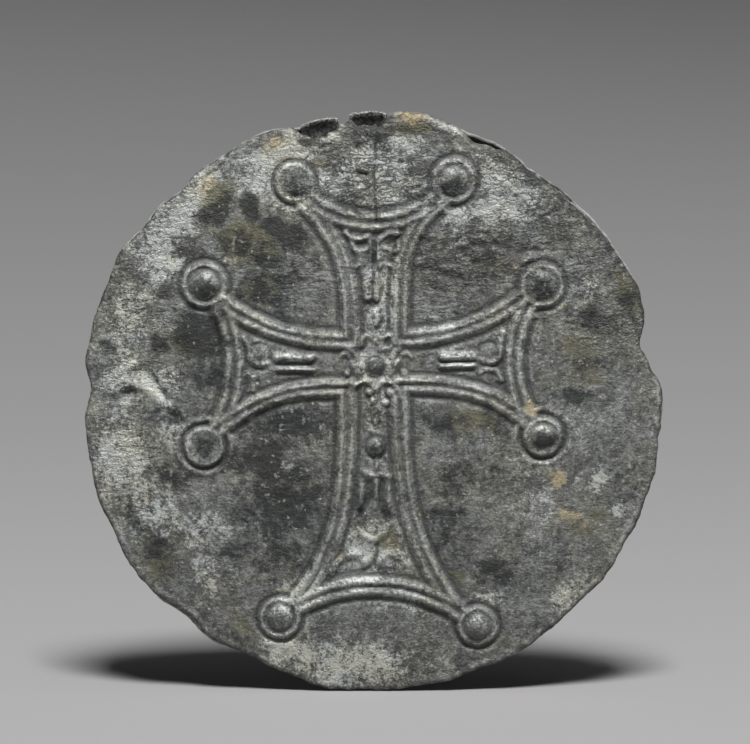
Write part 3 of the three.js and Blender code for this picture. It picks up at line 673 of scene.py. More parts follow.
def boss_relief(x, y, boss, sheets):
    """(raised, sunk) of a boss, with s the distance from its centre in ring radii. Raised is the
    highest of a dome with a rough dent, a ring at s = 1, a low lip past it and a low bed below
    them. Sunk is a fine groove round the dome and one outside the ring."""
    centre_x, centre_y, ring, wear, dent, lip = boss
    s = np.hypot(x - centre_x, y - centre_y) / ring
    dome = sheets.dome_height / MM * wear * cap(s, DOME_END)
    dome = dome - dent * hump(s, 0, DENT_SPREAD) * (1 + 0.6 * cloud(x, y, 1.0, 131, 2))
    hoop = sheets.ring_height / MM * hump(s, 1, RING_SPREAD) * (1 + 0.4 * cloud(x, y, 2.2, 141, 2))
    outer = 0.12 * lip * hump(s, *RING_LIP)
    bed = (0.15 + 0.1 * lip) * fade(s, 1.1, 0.95)
    sunk = -0.2 * hump(s, *RING_GROOVE) - 0.12 * hump(s, *DOME_GROOVE)
    return np.maximum(np.maximum(dome, hoop), np.maximum(outer, bed)), sunk


def cross_relief(x, y, sheets):
    """The whole design at each point: the highest of all lines, bosses, strokes and beads, the
    deepest of all grooves and hollows, and the distance to the nearest line. Noise wears the
    heights and pushes the points about a little."""
    raised, sunk, nearest = np.zeros(x.shape), np.zeros(x.shape), np.full(x.shape, FAR)
    worn = 0.9 + 0.25 * cloud(x, y, 3.2, 121, 3)
    x, y = x + 0.09 * cloud(x, y, 1.5, 101, 2), y + 0.09 * cloud(x, y, 1.5, 111, 2)
    for line, share, groove in cross_lines(sheets.line_gap / MM):
        distance = path_distance(x, y, line)
        nearest = np.minimum(nearest, distance)
        line_height = share * (sheets.line_height / MM)
        raised = np.maximum(raised, line_height * roof(distance, sheets.line_width / MM))
        sunk = np.minimum(sunk, -groove * hump(distance, *LINE_GROOVE))
    for boss in BOSSES.values():
        up, down = boss_relief(x, y, boss, sheets)
        raised, sunk = np.maximum(raised, up), np.minimum(sunk, down)
    s = np.hypot(x - CROSSING[0], y - CROSSING[1])
    raised = np.maximum(raised, 0.5 * cap(s, 1))
    raised = np.maximum(raised, 0.12 * fade(s, 2.3, 1.8) * fade(s, 1.0, 1.3))
    for up in strokes(x, y, RAISED_STROKES, 1.4):
        raised = np.maximum(raised, 1.2 * up)
    for centre_x, centre_y, radius, rise in BEADS:
        s = np.hypot(x - centre_x, y - centre_y) / radius
        raised = np.maximum(raised, rise * cap(s, 1.1))
        sunk = np.minimum(sunk, -0.12 * hump(s, 1.35, 0.2))
    for down in strokes(x, y, SUNK_STROKES, 1.3):
        sunk = np.minimum(sunk, -down)
    return raised * worn, np.minimum(sunk, -patches(x, y, HOLLOWS)) * worn, nearest


def wear_relief(x, y):
    """What time did to the sheet: creases as ridges, furrows and dents as hollows, fields of
    wrinkles as noise stretched along them, and slow waves."""
    height = 0.18 * cloud(x, y, 9.0, 5, 3) + 0.045 * cloud(x, y, 2.4, 6, 3)
    height += 0.02 * noise(x, y, 0.55, 7)
    height += sum(strokes(x, y, CREASES, 1.5)) - sum(strokes(x, y, FURROWS, 1.3))
    for *shape, depth in DENTS:
        height -= depth * oval(x, y, *shape)
    for index, (*shape, turn, rise) in enumerate(WRINKLES):
        along, across = turned(x, y, math.radians(turn))
        across = across + 0.6 * noise(along, across, 2.2, 70 + index)
        folds = cloud(along / 2.6, across, 0.6, 80 + index, 3)
        height += 2 * rise * folds * oval(x, y, *shape, turn)
    return height


def front_masks(x, y, height, sheets):
    """What the front's material reads at each point. Crests and grooves are where the height is
    above or below its own blur, with shine on the lines and rings, partly wear and partly painted
    highlight, painted shade along the outer side of the end lines of the upright arms and in the
    gap where the front sheet stands away from the back, and crumbs at the edge. The others are
    the strongest of the soft ovals in their tables, and a painted highlight of bloom lies on the
    upper side of unworn bosses."""
    detail = height - blur(height, 14)
    depth = inward(x, y, front_edge)
    crumbs = cloud(x, y, 0.7, 16, 3) * np.exp(-depth / 0.8)
    raised, sunk, nearest = cross_relief(x, y, sheets)
    cut = np.clip(-sunk * np.exp(-raised / 0.05) / 0.2, 0, 1)
    # Partly wear and partly painted highlight: a bright line along the crest of each cross line
    shine = 0.6 * roof(nearest, 0.7) * fade(noise(x, y, 1.3, 19), -0.6, 0.2)
    # Painted shade: a dark band along the outer side of the top and foot end lines, where the groove
    # wall faces down, away from the light
    shift = -0.5 * sheets.line_gap / MM - 0.75
    top, foot = (path_distance(x, y, end_line(*ARM_ENDS[i], shift)) for i in (0, 2))
    end_line_shade = np.maximum(1.8 * roof(top, 1.0), 0.6 * roof(foot, 1.0))
    # Painted shade: a dark broken line just inside the upper right edge, for the shadowed gap where the
    # front sheet stands away from the back
    edge_gap_shade = 1.9 * hump(angle_of(x, y), 45, 21) * hump(depth, 0.3, 0.3)
    edge_gap_shade = edge_gap_shade * fade(noise(x, y, 0.9, 18), -0.8, 0.1)
    crest = np.clip(detail / 0.13 + shine + 1.2 * crumbs, 0, 1)
    bloom = patches(x, y, BLOOM_PATCHES)
    for centre_x, centre_y, ring, _, dent, _ in BOSSES.values():
        s = np.hypot(x - centre_x, y - centre_y) / ring
        worn_ring = hump(s, 1, RING_SPREAD) * fade(noise(x, y, 1.1, 20), -1.2, 0.0)
        crest = np.maximum(crest * (1 - 3.5 * dent * fade(s, 0.85, 0.6)), 0.75 * worn_ring)
        # Painted highlight: pale bloom on the upper side of each unworn dome, where the light from above
        # falls
        if dent < WORN_DENT:
            crown = oval(x, y, centre_x - 0.1, centre_y + 0.5 * ring, 0.55 * ring, 0.22 * ring)
            bloom = np.maximum(bloom, 0.55 * crown)
    return {
        "crest": crest,
        # The groove mask holds grime in the hollows, and also the painted shade of the end lines and of
        # the edge gap
        "groove": np.clip(-detail / 0.12 + 0.6 * cut + edge_gap_shade - 1.6 * crumbs + end_line_shade, 0, 1),
        "crumple": patches(x, y, WRINKLES) / FULL_WRINKLES,
        "bloom": bloom,
        # Mostly tarnish, with painted shade from the two dark patches just below the top domes
        "tarnish": patches(x, y, DARK_PATCHES),
        "olive": patches(x, y, OLIVE_PATCHES),
        "ochre": patches(x, y, OCHRE_PATCHES),
    }


def blur(grid, passes):
    """A grid averaged with its four neighbours that many times."""
    for _ in range(passes):
        padded = np.pad(grid, 1, mode="edge")
        around = padded[:-2, 1:-1] + padded[2:, 1:-1] + padded[1:-1, :-2] + padded[1:-1, 2:]
        grid = (4 * grid + around) / 8
    return grid


def disc_grid(cells):
    """Shares of the radius and angles of a square grid mapped onto a disc, ring by ring: with
    (a, b) in the square from -1 to 1, the share is the larger of |a| and |b|, and the angle runs
    45 degrees from the middle of a side to its corner in proportion to the smaller one."""
    side = np.linspace(-1, 1, cells + 1)
    a, b = np.meshgrid(side, side, indexing="ij")
    wide = abs(a) >= abs(b)
    long, short = np.where(wide, a, b), np.where(wide, b, -a)
    lean = math.pi / 4 * short / np.where(long == 0, 1, long)
    turn = np.where(wide, 0, math.pi / 2) + lean + np.where(long < 0, math.pi, 0)
    return abs(long), np.degrees(turn)


def grid_quads(index):
    """Quads between the neighbours of a grid of indices."""
    corners = [index[:-1, :-1], index[1:, :-1], index[1:, 1:], index[:-1, 1:]]
    return np.stack(corners, 2).reshape(-1, 4)


def perimeter(index):
    """The outer indices of a grid, once round counter-clockwise."""
    return np.concatenate([index[:-1, 0], index[-1, :-1], index[:0:-1, -1], index[0, :0:-1]])


def quads_between(lower, upper):
    """Quads from one closed loop of indices to the next."""
    return np.stack([lower, np.roll(lower, -1), np.roll(upper, -1), upper], 1)


def fan(loop, middle):
    """Triangles from a closed loop of indices to one point."""
    return np.stack([np.roll(loop, -1), loop, np.full(len(loop), middle)], 1)


def to_frame(x, y, height):
    """Points of the face in millimetres as points of the frame in metres."""
    return np.stack([np.ravel(x), -np.ravel(height), np.ravel(y)], 1) * MM


def add_piece(name, points, faces):
    """A smooth-shaded mesh object at the origin, its edges sharp where the faces turn much."""
    mesh = bpy.data.meshes.new(name)
    mesh.from_pydata(points.tolist(), [], [f for group in faces for f in group.tolist()])
    mesh.shade_smooth()
    mesh.set_sharp_from_angle(angle=math.radians(SHARP_ANGLE))
    piece = bpy.data.objects.new(name, mesh)
    bpy.context.collection.objects.link(piece)
    return piece


def paint(piece, name, parts, counts):
    """Keeps one number for each point under that name, for the materials. The parts of the mesh
    come in order, each as its numbers or as one number for all of its points."""
    values = np.concatenate([np.broadcast_to(part, count) for part, count in zip(parts, counts)])
    layer = piece.data.attributes.new(name, "FLOAT", "POINT")
    layer.data.foreach_set("value", values.astype(np.float32))


def sheet_shell(name, cells, edge, fine, plain, facing):
    """A closed thin disc. The fine side is the disc grid at height fine(x, y), worked out twice as
    fine and averaged, the other side is rings at height plain(x, y) round a pole, and between
    their edges runs a torn wall. Facing is 1 where the fine side faces the viewer. Returns the
    piece and the fine side's x, y and height."""
    share, degrees = disc_grid(2 * cells)
    radius = DISC_RADIUS * share
    radius = radius + (edge(degrees) - DISC_RADIUS) * fade(share, EDGE_ZONE, 1) * share
    x, y = radius * np.cos(np.radians(degrees)), radius * np.sin(np.radians(degrees))
    height = blur(fine(x, y), 2)[::2, ::2]
    x, y = x[::2, ::2], y[::2, ::2]
    index = np.arange(x.size).reshape(x.shape)
    rim = perimeter(index)
    rim_x, rim_y, rim_height = x.ravel()[rim], y.ravel()[rim], height.ravel()[rim]
    drop = plain(rim_x, rim_y) - rim_height
    swell = WALL_SWELL + WALL_ROUGHNESS * cloud(rim_x * 1.7, rim_y * 1.7, 0.7, 90 + cells, 2)
    grow = 1 + swell / DISC_RADIUS
    rings = [(rim_x * grow, rim_y * grow, rim_height + drop * depth) for depth in WALL_ROWS]
    for part in PLAIN_RINGS:
        rings.append((rim_x * part, rim_y * part, plain(rim_x * part, rim_y * part)))
    points, faces = [to_frame(x, y, height)], [grid_quads(index)]
    loop, first = rim, index.size
    for ring in rings:
        points.append(to_frame(*ring))
        following = first + np.arange(len(rim))
        faces.append(quads_between(following, loop))
        loop, first = following, first + len(rim)
    middle = np.zeros(1)
    points.append(to_frame(middle, middle, plain(middle, middle)))
    faces.append(fan(loop, first))
    if facing < 0:
        faces = [group[:, ::-1] for group in faces]
    return add_piece(name, np.vstack(points), faces), x, y, height


def tube(name, rows):
    """A closed surface from sections: rows is an array of sections, each a closed loop of
    (x, y, height) points, and the first and last are closed by a fan about their middle."""
    count, around = rows.shape[:2]
    index = np.arange(count * around).reshape(count, around)
    faces = [quads_between(index[i], index[i + 1]) for i in range(count - 1)]
    faces += [fan(index[0], index.size), fan(index[-1], index.size + 1)[:, [1, 0, 2]]]
    flat = np.vstack([rows.reshape(-1, 3), rows[[0, -1]].mean(1)])
    return add_piece(name, to_frame(*flat.T), faces)


def bright(colour, times):
    """A colour that many times as bright."""
    return [value * times for value in colour]


class Finish:
    """A material being built: its nodes read Object coordinates in metres, and colour is what
    its coats have come to so far."""

    def __init__(self, name, colour):
        self.material = bpy.data.materials.new(name)
        self.material.use_nodes = True
        self.tree = self.material.node_tree
        self.place = self.node("ShaderNodeTexCoord").outputs["Object"]
        self.colour = colour

    def node(self, kind, **settings):
        """A new node with those settings."""
        made = self.tree.nodes.new(kind)
        for key, value in settings.items():
            setattr(made, key, value)
        return made

    def join(self, source, socket):
        """Links a socket, or sets a plain value on it, where three numbers are a full colour."""
        if isinstance(source, bpy.types.NodeSocket):
            self.tree.links.new(source, socket)
        elif socket.type == "RGBA":
            socket.default_value = (*source, 1)
        else:
            socket.default_value = source

    def moved(self, stretch=(1, 1, 1), offset=(0, 0, 0)):
        """The place on the object, stretched and moved."""
        mapping = self.node("ShaderNodeMapping")
        self.join(self.place, mapping.inputs["Vector"])
        self.join(stretch, mapping.inputs["Scale"])
        self.join(offset, mapping.inputs["Location"])
        return mapping.outputs["Vector"]

    def texture(self, kind, size, place, **settings):
        """A texture node with features of that size in millimetres, read at that place."""
        made = self.node(kind, **settings)
        self.join(place, made.inputs["Vector"])
        self.join(1 / (size * MM), made.inputs["Scale"])
        return made

    def noise(self, size, detail, rough, offset=(0, 0, 0), output="Fac"):
        """Fractal noise with features of that size in millimetres, 0 to 1."""
        made = self.texture("ShaderNodeTexNoise", size, self.moved(offset=offset))
        self.join(detail, made.inputs["Detail"])
        self.join(rough, made.inputs["Roughness"])
        return made.outputs[output]

    def scratches(self, turn):
        """Long thin streaks across the face, turned by that angle, 0 to 1."""
        mapping = self.node("ShaderNodeMapping", vector_type="TEXTURE")
        self.join(self.place, mapping.inputs["Vector"])
        self.join((0, turn, 0), mapping.inputs["Rotation"])
        self.join((30, 1, 1), mapping.inputs["Scale"])
        made = self.texture("ShaderNodeTexNoise", 0.35, mapping.outputs["Vector"])
        self.join(2, made.inputs["Detail"])
        return made.outputs["Fac"]

    def scales(self, size, shake, stretch):
        """How far inside its cell each point is, where cells of that size in millimetres cover the
        surface and noise has pushed their borders about; 0 on a border."""
        push = self.node("ShaderNodeVectorMath", operation="MULTIPLY_ADD")
        self.join(self.noise(size, 4, 0.6, output="Color"), push.inputs[0])
        self.join((shake * MM, shake * MM, shake * MM), push.inputs[1])
        self.join(self.moved(stretch), push.inputs[2])
        made = self.texture("ShaderNodeTexVoronoi", size, push.outputs[0], feature="DISTANCE_TO_EDGE")
        return made.outputs["Distance"]

    def kept(self, name, added=None, times=1.0):
        """The numbers kept on the mesh under that name, broken up by noise added to them."""
        numbers = self.node("ShaderNodeAttribute", attribute_name=name).outputs["Fac"]
        return self.sum(numbers, added, times) if added else numbers

    def sum(self, first, second, times=1.0):
        """first + second * times"""
        made = self.node("ShaderNodeMath", operation="MULTIPLY_ADD")
        for source, socket in zip((second, times, first), made.inputs):
            self.join(source, socket)
        return made.outputs[0]

    def band(self, value, low, high, to_low=0.0, to_high=1.0):
        """The value from low to high, taken smoothly to the other two numbers."""
        made = self.node("ShaderNodeMapRange", interpolation_type="SMOOTHSTEP")
        for source, socket in zip((value, low, high, to_low, to_high), made.inputs):
            self.join(source, socket)
        return made.outputs["Result"]

    def mix(self, share, first, second, kind="MIX"):
        """The first colour and the second one in that share."""
        made = self.node("ShaderNodeMix", data_type="RGBA", blend_type=kind)
        for source, index in ((share, 0), (first, 6), (second, 7)):
            self.join(source, made.inputs[index])
        return made.outputs[2]

    def coat(self, colour, value, low, high, most=1.0):
        """Lays a colour over the coats so far, in a share that runs from 0 where the value is
        low to most where it is high. Returns the share."""
        share = self.band(value, low, high, 0.0, most)
        self.colour = self.mix(share, self.colour, colour)
        return share

    def bump(self, height, distance, before=None):
        """Bump from a height, its full step worth that many millimetres."""
        made = self.node("ShaderNodeBump")
        self.join(distance * MM, made.inputs["Distance"])
        self.join(height, made.inputs["Height"])
        if before:
            self.join(before, made.inputs["Normal"])
        return made.outputs["Normal"]

    def done(self, rough, metallic=0.0, shine=0.5, normal=None):
        """Joins the colour and the rest to the shader, and returns the material."""
        shader = self.tree.nodes["Principled BSDF"]
        self.join(self.colour, shader.inputs["Base Color"])
        self.join(rough, shader.inputs["Roughness"])
        self.join(metallic, shader.inputs["Metallic"])
        self.join(shine, shader.inputs["Specular IOR Level"])
        if normal:
            self.join(normal, shader.inputs["Normal"])
        return self.material


def pressed_finish(colours):
    """The front: grey metal with pale bloom, dark and olive tarnish, earthy spots, grime in the
    grooves with painted shade along the end lines and in the edge gap, painted shade below the top
    domes, and bright wear with a painted highlight on the crests and on the upper side of unworn
    domes. Each patch breaks up where noise crosses a level set by it. Where crumple is high, small
    scales part along dark cracks."""
    finish = Finish("pressed_tin", bright(colours.metal, 0.42))
    coarse = finish.noise(2.4, 7, 0.7)
    medium = finish.noise(0.8, 6, 0.7, (0.02, 0, 0.01))
    grain = finish.noise(0.3, 3, 0.7)
    second = finish.noise(1.5, 7, 0.75, (0.05, 0, 0.03))
    speckle = finish.sum(finish.sum(finish.sum(-0.5, coarse, 0.4), medium, 0.35), grain, 0.25)
    finish.coat(bright(colours.metal, 1.7), speckle, -0.11, 0.11)
    # Pale bloom, with the painted highlight on the upper side of unworn domes that the bloom mask
    # carries
    finish.coat(colours.bloom, finish.kept("bloom", speckle, 4.2), 0.35, 0.85, 0.75)
    # Bright wear on the crests, with the painted highlight along the line crests that the crest mask
    # carries
    crest = finish.coat(colours.bloom, finish.kept("crest", speckle, 3.0), 0.3, 1.1, 0.45)
    finish.coat(colours.bloom, finish.noise(0.5, 5, 0.8, (0.04, 0, 0.06)), 0.56, 0.68, 0.35)
    finish.coat(colours.ochre, finish.kept("ochre", medium, 2.4), 1.65, 2.3, 0.75)
    finish.coat(colours.olive, finish.kept("olive", second, 2.8), 1.75, 2.4, 0.8)
    # Dark tarnish, and painted shade where the dark patches lie below the top domes
    dark = finish.kept("tarnish", second, -3.6)
    finish.coat(colours.dark, dark, -1.65, -0.8, 0.88)
    finish.coat(colours.bloom, finish.noise(0.6, 3, 0.5, (0.09, 0, 0.04)), 0.62, 0.72, 0.4)
    # Grime in the hollows, with the painted shade of the end lines and of the edge gap that the groove
    # mask carries
    finish.coat(colours.dark, finish.kept("groove", speckle, 3.0), 0.25, 0.9, 0.75)
    pits = finish.noise(0.42, 5, 0.8, (0.07, 0, 0.02))
    pits = finish.coat(colours.dark, pits, 0.45, 0.35, 0.6)
    crumple = finish.sum(0.12, finish.kept("crumple"))
    scales = finish.scales(0.58, 1.1, stretch=(0.3, 1, 1))
    parted = finish.sum(finish.sum(scales, crumple, -0.14), second, 0.24)
    finish.coat(colours.dark, parted, 0.1, 0.0, 0.72)
    tone = finish.band(finish.noise(5.0, 5, 0.65, (0.12, 0, 0.08)), 0.4, 0.6)
    tone = finish.mix(tone, (0.97, 1.0, 1.02), (1.02, 1.01, 0.94))
    finish.colour = finish.mix(1.0, finish.colour, tone, "MULTIPLY")
    rough = finish.band(finish.sum(medium, crest, -0.6), 0.0, 0.7, 0.3, 0.62)
    shine = finish.band(dark, -1.65, -0.8, 0.9, 0.4)
    pillow = finish.sum(0.0, finish.band(scales, 0, 0.25), crumple)
    bumps = finish.bump(medium, 0.2)
    bumps = finish.bump(pillow, 0.14, before=bumps)
    bumps = finish.bump(finish.sum(grain, pits, -0.3), 0.08, before=bumps)
    return finish.done(rough, 0.45, shine, bumps)


def plain_finish(colours):
    """The back: the same grey metal, laid on brighter than on the front as painted light for the side
    that faces away from the lamps, cloudy with tarnish and bloom, with fine scratches several ways.
    Its inner face, kept as inside, is painted black as shade in the gap between the sheets, and its
    thin edge, kept as lip, carries a painted highlight in places."""
    # Painted light: the back's metal is laid on 1.5 to 3.6 times as bright as the metal colour, for the
    # light that the back, facing away from the lamps, does not get
    finish = Finish("plain_tin", bright(colours.metal, 1.5))
    broad = finish.noise(5.0, 7, 0.65)
    fleck = finish.noise(0.9, 6, 0.75, (0.03, 0, 0))
    finish.coat(bright(colours.metal, 3.6), finish.sum(broad, fleck, 0.5), 0.6, 0.9)
    bloom = finish.sum(finish.noise(9.0, 6, 0.65, (0.1, 0, 0.02)), fleck, 0.9)
    finish.coat(colours.bloom, bloom, 0.88, 1.15, 0.9)
    dark = finish.sum(finish.noise(6.0, 6, 0.65, (0, 0, 0.2)), fleck, -0.7)
    finish.coat(colours.metal, dark, 0.08, 0.3, 0.75)
    finish.coat(colours.olive, finish.noise(5.0, 6, 0.65, (0.07, 0, 0.11)), 0.55, 0.68, 0.6)
    finish.coat(colours.ochre, finish.noise(3.0, 6, 0.65, (0.15, 0, 0.07)), 0.64, 0.7, 0.5)
    pits = finish.noise(0.5, 5, 0.8, (0.07, 0, 0.02))
    pits = finish.coat(colours.dark, pits, 0.44, 0.34, 0.6)
    streaks = 0.0
    for turn in (0.35, 1.2, 2.4, 2.75):
        streaks = finish.sum(streaks, finish.band(finish.scratches(turn), 0.66, 0.74))
    finish.coat(colours.bloom, finish.sum(streaks, broad, 1.5), 1.2, 1.8, 0.4)
    finish.coat(colours.bloom, finish.kept("scratch", fleck, 2.0), 1.1, 1.9, 0.6)
    # Painted shade: the inner face is laid on nearly black for the shadow in the gap between the sheets
    inside = finish.kept("inside")
    finish.colour = finish.mix(inside, finish.colour, bright(colours.dark, 0.3))
    # Painted highlight: a bright line on the back sheet's thin edge, where light from above catches it
    finish.coat(colours.bloom, finish.kept("lip", fleck, 1.2), 1.2, 1.7, 0.7)
    rough = finish.band(fleck, 0.3, 0.7, 0.4, 0.68)
    shine = finish.band(inside, 0, 1, 0.5, 0.05)
    coarse = finish.bump(fleck, 0.15)
    fine = finish.bump(finish.sum(pits, streaks, 0.5), 0.05, before=coarse)
    return finish.done(rough, 0.35, shine, fine)


def solder_finish(colours):
    """Solder: crumbly, paler than the sheets, with dark pits."""
    finish = Finish("solder", colours.dark)
    fleck = finish.noise(0.5, 4, 0.7)
    finish.coat(colours.bloom, fleck, 0.35, 0.62)
    finish.coat(colours.metal, finish.noise(2.5, 3, 0.6), 0.4, 0.6, 0.6)
    rough = finish.band(fleck, 0.3, 0.7, 0.75, 0.5)
    return finish.done(rough, 0.3, normal=finish.bump(fleck, 0.12))


def torn_finish(colours):
    """Torn stubs: painted black as shade in the hollow of the break, with a painted highlight of bright
    metal on the thin lip kept as crest.
    """
    # Painted shade: the stubs are laid on nearly black for the shaded hollow of the break
    finish = Finish("tarnish", bright(colours.dark, 0.6))
    fleck = finish.noise(0.5, 5, 0.8)
    finish.coat(colours.metal, fleck, 0.46, 0.6, 0.75)
    crumb = finish.noise(0.28, 4, 0.8, (0.05, 0, 0.02))
    # Painted highlight: bright metal on the curled lip, where light from above catches it
    finish.coat(colours.bloom, finish.kept("crest", crumb, 4.0), 2.75, 3.2, 0.75)
    rough = finish.band(fleck, 0.3, 0.7, 0.8, 0.55)
    return finish.done(rough, 0.3, normal=finish.bump(fleck, 0.12))


def paper_finish(stage):
    """The floor and backdrop, with painted shade: the floor darkens a little away from the camera and
    turns into the backdrop's colour, which darkens to the right."""
    finish = Finish("paper", stage.floor)
    place = finish.node("ShaderNodeSeparateXYZ")
    finish.join(finish.place, place.inputs[0])
    # Painted shade: the floor darkens away from the camera
    finish.coat(bright(stage.floor, 0.89), place.outputs["Y"], -0.02, 0.25)
    # Painted shade: the backdrop darkens to the right
    right = finish.band(place.outputs["X"], -0.14, 0.14)
    high = finish.mix(right, stage.backdrop, bright(stage.backdrop, 0.85))
    finish.coat(high, place.outputs["Y"], 0.3, 1.0)
    return finish.done(0.9, shine=0.1)


class MEDALLION_OT_front(Operator):
    """Adds the pressed front sheet with the cross, its wear and its patina."""

    bl_idname = "medallion.front_sheet"
    bl_label = "Front sheet"

    def execute(self, context):
        sheets = context.scene.medallion_sheets

        def under(x, y):
            """The inner side: bulge * (1 - (r / R)^2), with R the radius inside the flange."""
            share = np.hypot(x, y) / (DISC_RADIUS - FLANGE_WIDTH)
            return FRONT_UNDER + sheets.bulge / MM * (1 - np.minimum(1, share) ** 2)

        def face(x, y):
            """The outer side: relief and wear on top of the thickness, with a rounded, crumbly
            edge and the groove that is left inside it."""
            raised, sunk, _ = cross_relief(x, y, sheets)
            relief = raised + sunk * np.exp(-raised / 0.08)
            depth = inward(x, y, front_edge)
            kept = sum(hump(away_from(angle_of(x, y), middle), 0, spread)
                       for middle, spread in RIM_BANDS)
            band = 0.13 * kept * hump(depth, 0.8, 0.2) * fade(noise(x, y, 1.7, 11), -0.6, 0.4)
            rounded = 0.2 * hump(depth, 0, 0.2)
            crumbs = 0.12 * cloud(x, y, 0.9, 14, 3) * np.exp(-depth / 1.1)
            wear = wear_relief(x, y) * fade(depth, 0.2, 1.5)
            top = under(x, y) + sheets.thickness / MM
            return top + relief + wear - band - rounded + crumbs

        piece, x, y, height = sheet_shell(
            "pressed_front", sheets.front_cells, front_edge, face, under, facing=1
        )
        spare = len(piece.data.vertices) - x.size
        for name, values in front_masks(x, y, height, sheets).items():
            paint(piece, name, (values.ravel(), 0.25), (x.size, spare))
        piece.data.materials.append(pressed_finish(context.scene.medallion_patina))
        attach(piece, "root")
        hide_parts("front_sheet")
        return {"FINISHED"}


class MEDALLION_OT_back(Operator):
    """Adds the plain back sheet, flat but for shallow dents and scratches."""

    bl_idname = "medallion.back_sheet"
    bl_label = "Back sheet"

    def execute(self, context):
        sheets = context.scene.medallion_sheets

        def scratched(x, y):
            """Depth of the scratches."""
            return sum(strokes(x, y, BACK_SCRATCHES, 1))

        def outside(x, y):
            """The outer side: dents from noise, scratches and a rounded edge."""
            dents = 0.14 * np.abs(cloud(x, y, 8.0, 40)) + 0.05 * np.abs(cloud(x, y, 1.6, 44, 3))
            return dents + scratched(x, y) + 0.13 * hump(inward(x, y, back_edge), 0, 0.2)

        def inside(x, y):
            """The flat inner side."""
            return np.full(np.shape(x), BACK_TOP)

        piece, x, y, _ = sheet_shell(
            "plain_back", sheets.back_cells, back_edge, outside, inside, facing=-1
        )
        rim = 4 * sheets.back_cells
        counts = (x.size, 2 * rim, rim, len(piece.data.vertices) - x.size - 3 * rim)
        # The points kept as inside get painted shade, nearly black, in the material
        paint(piece, "inside", (0, 0, 0, 1), counts)
        # The ring kept as lip gets a painted highlight in the material
        paint(piece, "lip", (0, 0, 1, 0), counts)
        scratch = np.clip(scratched(x, y) / 0.08, 0, 1)
        paint(piece, "scratch", (scratch.ravel(), 0, 0, 0), counts)
        piece.data.materials.append(plain_finish(context.scene.medallion_patina))
        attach(piece, "root")
        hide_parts("back_sheet")
        return {"FINISHED"}


class MEDALLION_OT_solder(Operator):
    """Adds the three crumbly stretches of solder between the sheets."""

    bl_idname = "medallion.solder"
    bl_label = "Solder"

    def execute(self, context):
        material = solder_finish(context.scene.medallion_patina)
        for node, (first, last) in SEAMS.items():
            piece = tube(node.replace("rim_", ""), self.sections(first, last))
            piece.data.materials.append(material)
            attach(piece, "root")
            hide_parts(node)
        return {"FINISHED"}

    @staticmethod
    def sections(first, last):
        """Sections of a bead along the edge: a rounded oblong between the sheets, its outer side
        pushed in and out by noise, and tapered over the last 2 degrees of each end."""
        degrees = np.linspace(first, last, int((last - first) * 4))[:, None]
        around = np.linspace(0, 2 * math.pi, 20, endpoint=False)[None, :]
        taper = fade(np.minimum(degrees - first, last - degrees), -0.4, 2.0)
        outward, upward = (np.sign(side) * np.abs(side) ** 0.6
                           for side in (np.cos(around), np.sin(around)))
        turn = np.radians(degrees)
        crumbs = cloud(DISC_RADIUS * turn + 0 * around, 2 * around, 0.8, 61, 3)
        radius = edge_radius(degrees, SHARED_FLAWS) - SOLDER_INSET
        radius = radius + (0.6 * taper + 0.16 * crumbs) * outward
        half = (FRONT_UNDER - BACK_TOP) / 2
        height = (BACK_TOP + FRONT_UNDER) / 2 + half * upward * (0.3 + 0.7 * taper)
        return np.stack(np.broadcast_arrays(radius * np.cos(turn), radius * np.sin(turn), height), 2)


class MEDALLION_OT_stubs(Operator):
    """Adds the two torn stubs of the loop between the sheets."""

    bl_idname = "medallion.stubs"
    bl_label = "Torn stubs"

    def execute(self, context):
        material = torn_finish(context.scene.medallion_patina)
        for seed, (node, (middle, crown)) in enumerate(STUBS.items()):
            across, out, height, crest = self.sections(crown, seed)
            x, y = turned(across, out + DISC_RADIUS, math.radians(90 - middle))
            piece = tube(node.replace("loop_", "torn_"), np.stack([x, y, height], 2))
            # The lip kept as crest gets a painted highlight in the material
            paint(piece, "crest", (crest.ravel(), 0), (crest.size, 2))
            piece.data.materials.append(material)
            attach(piece, "root")
            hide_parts(node)
        return {"FINISHED"}

    @staticmethod
    def sections(crown, seed):
        """Upright sections side by side across a stub. Each runs up the hollow front, over the
        curled lip at the ragged crown and down the flat back. Returns how far each point is
        across, past the circle, off the flat back and on the lip."""
        rise, over, fall = np.linspace(0, 1, 24), np.ones(4), np.linspace(1, 0, 12)
        up = np.concatenate([rise, over, fall])
        on_lip = np.concatenate([fade(rise, 0.76, 0.98), over, 0 * fall])
        dip = np.concatenate([np.sin(math.pi * rise) ** 0.7, 0 * over, 0 * fall])
        front = np.concatenate([0 * rise + 1, np.linspace(1, 0, len(over)), 0 * fall])
        across = np.linspace(-0.5, 0.5, 60)[:, None] * (STUB_WIDTH - 0.1)
        side = 1 - np.abs(2 * across / STUB_WIDTH) ** 4
        rag = cloud(across, 9 * seed + 0 * across, 0.35, 21 + seed, 3)
        wave = cloud(across, 9 * seed + 0 * across, 1.7, 27 + seed, 3)
        top = crown - 0.22 + 0.09 * rag + 0.17 * wave - 0.3 * (1 - side)
        level = -STUB_FOOT + (top + STUB_FOOT) * up
        rough = cloud(across * 1.5, level * 1.5, 0.8, 33 + seed, 3)
        lip = STUB_CURL * on_lip * side * (1 + 0.4 * rag)
        thick = FRONT_UNDER - BACK_TOP + lip - 0.22 * dip * side + 0.06 * rough * dip
        height = np.maximum(BACK_TOP + front * thick, BACK_TOP)
        level = level + 0.12 * np.sin(front * math.pi) * (up == 1)
        return [grid[:, ::-1] for grid in np.broadcast_arrays(across, level, height, on_lip)]


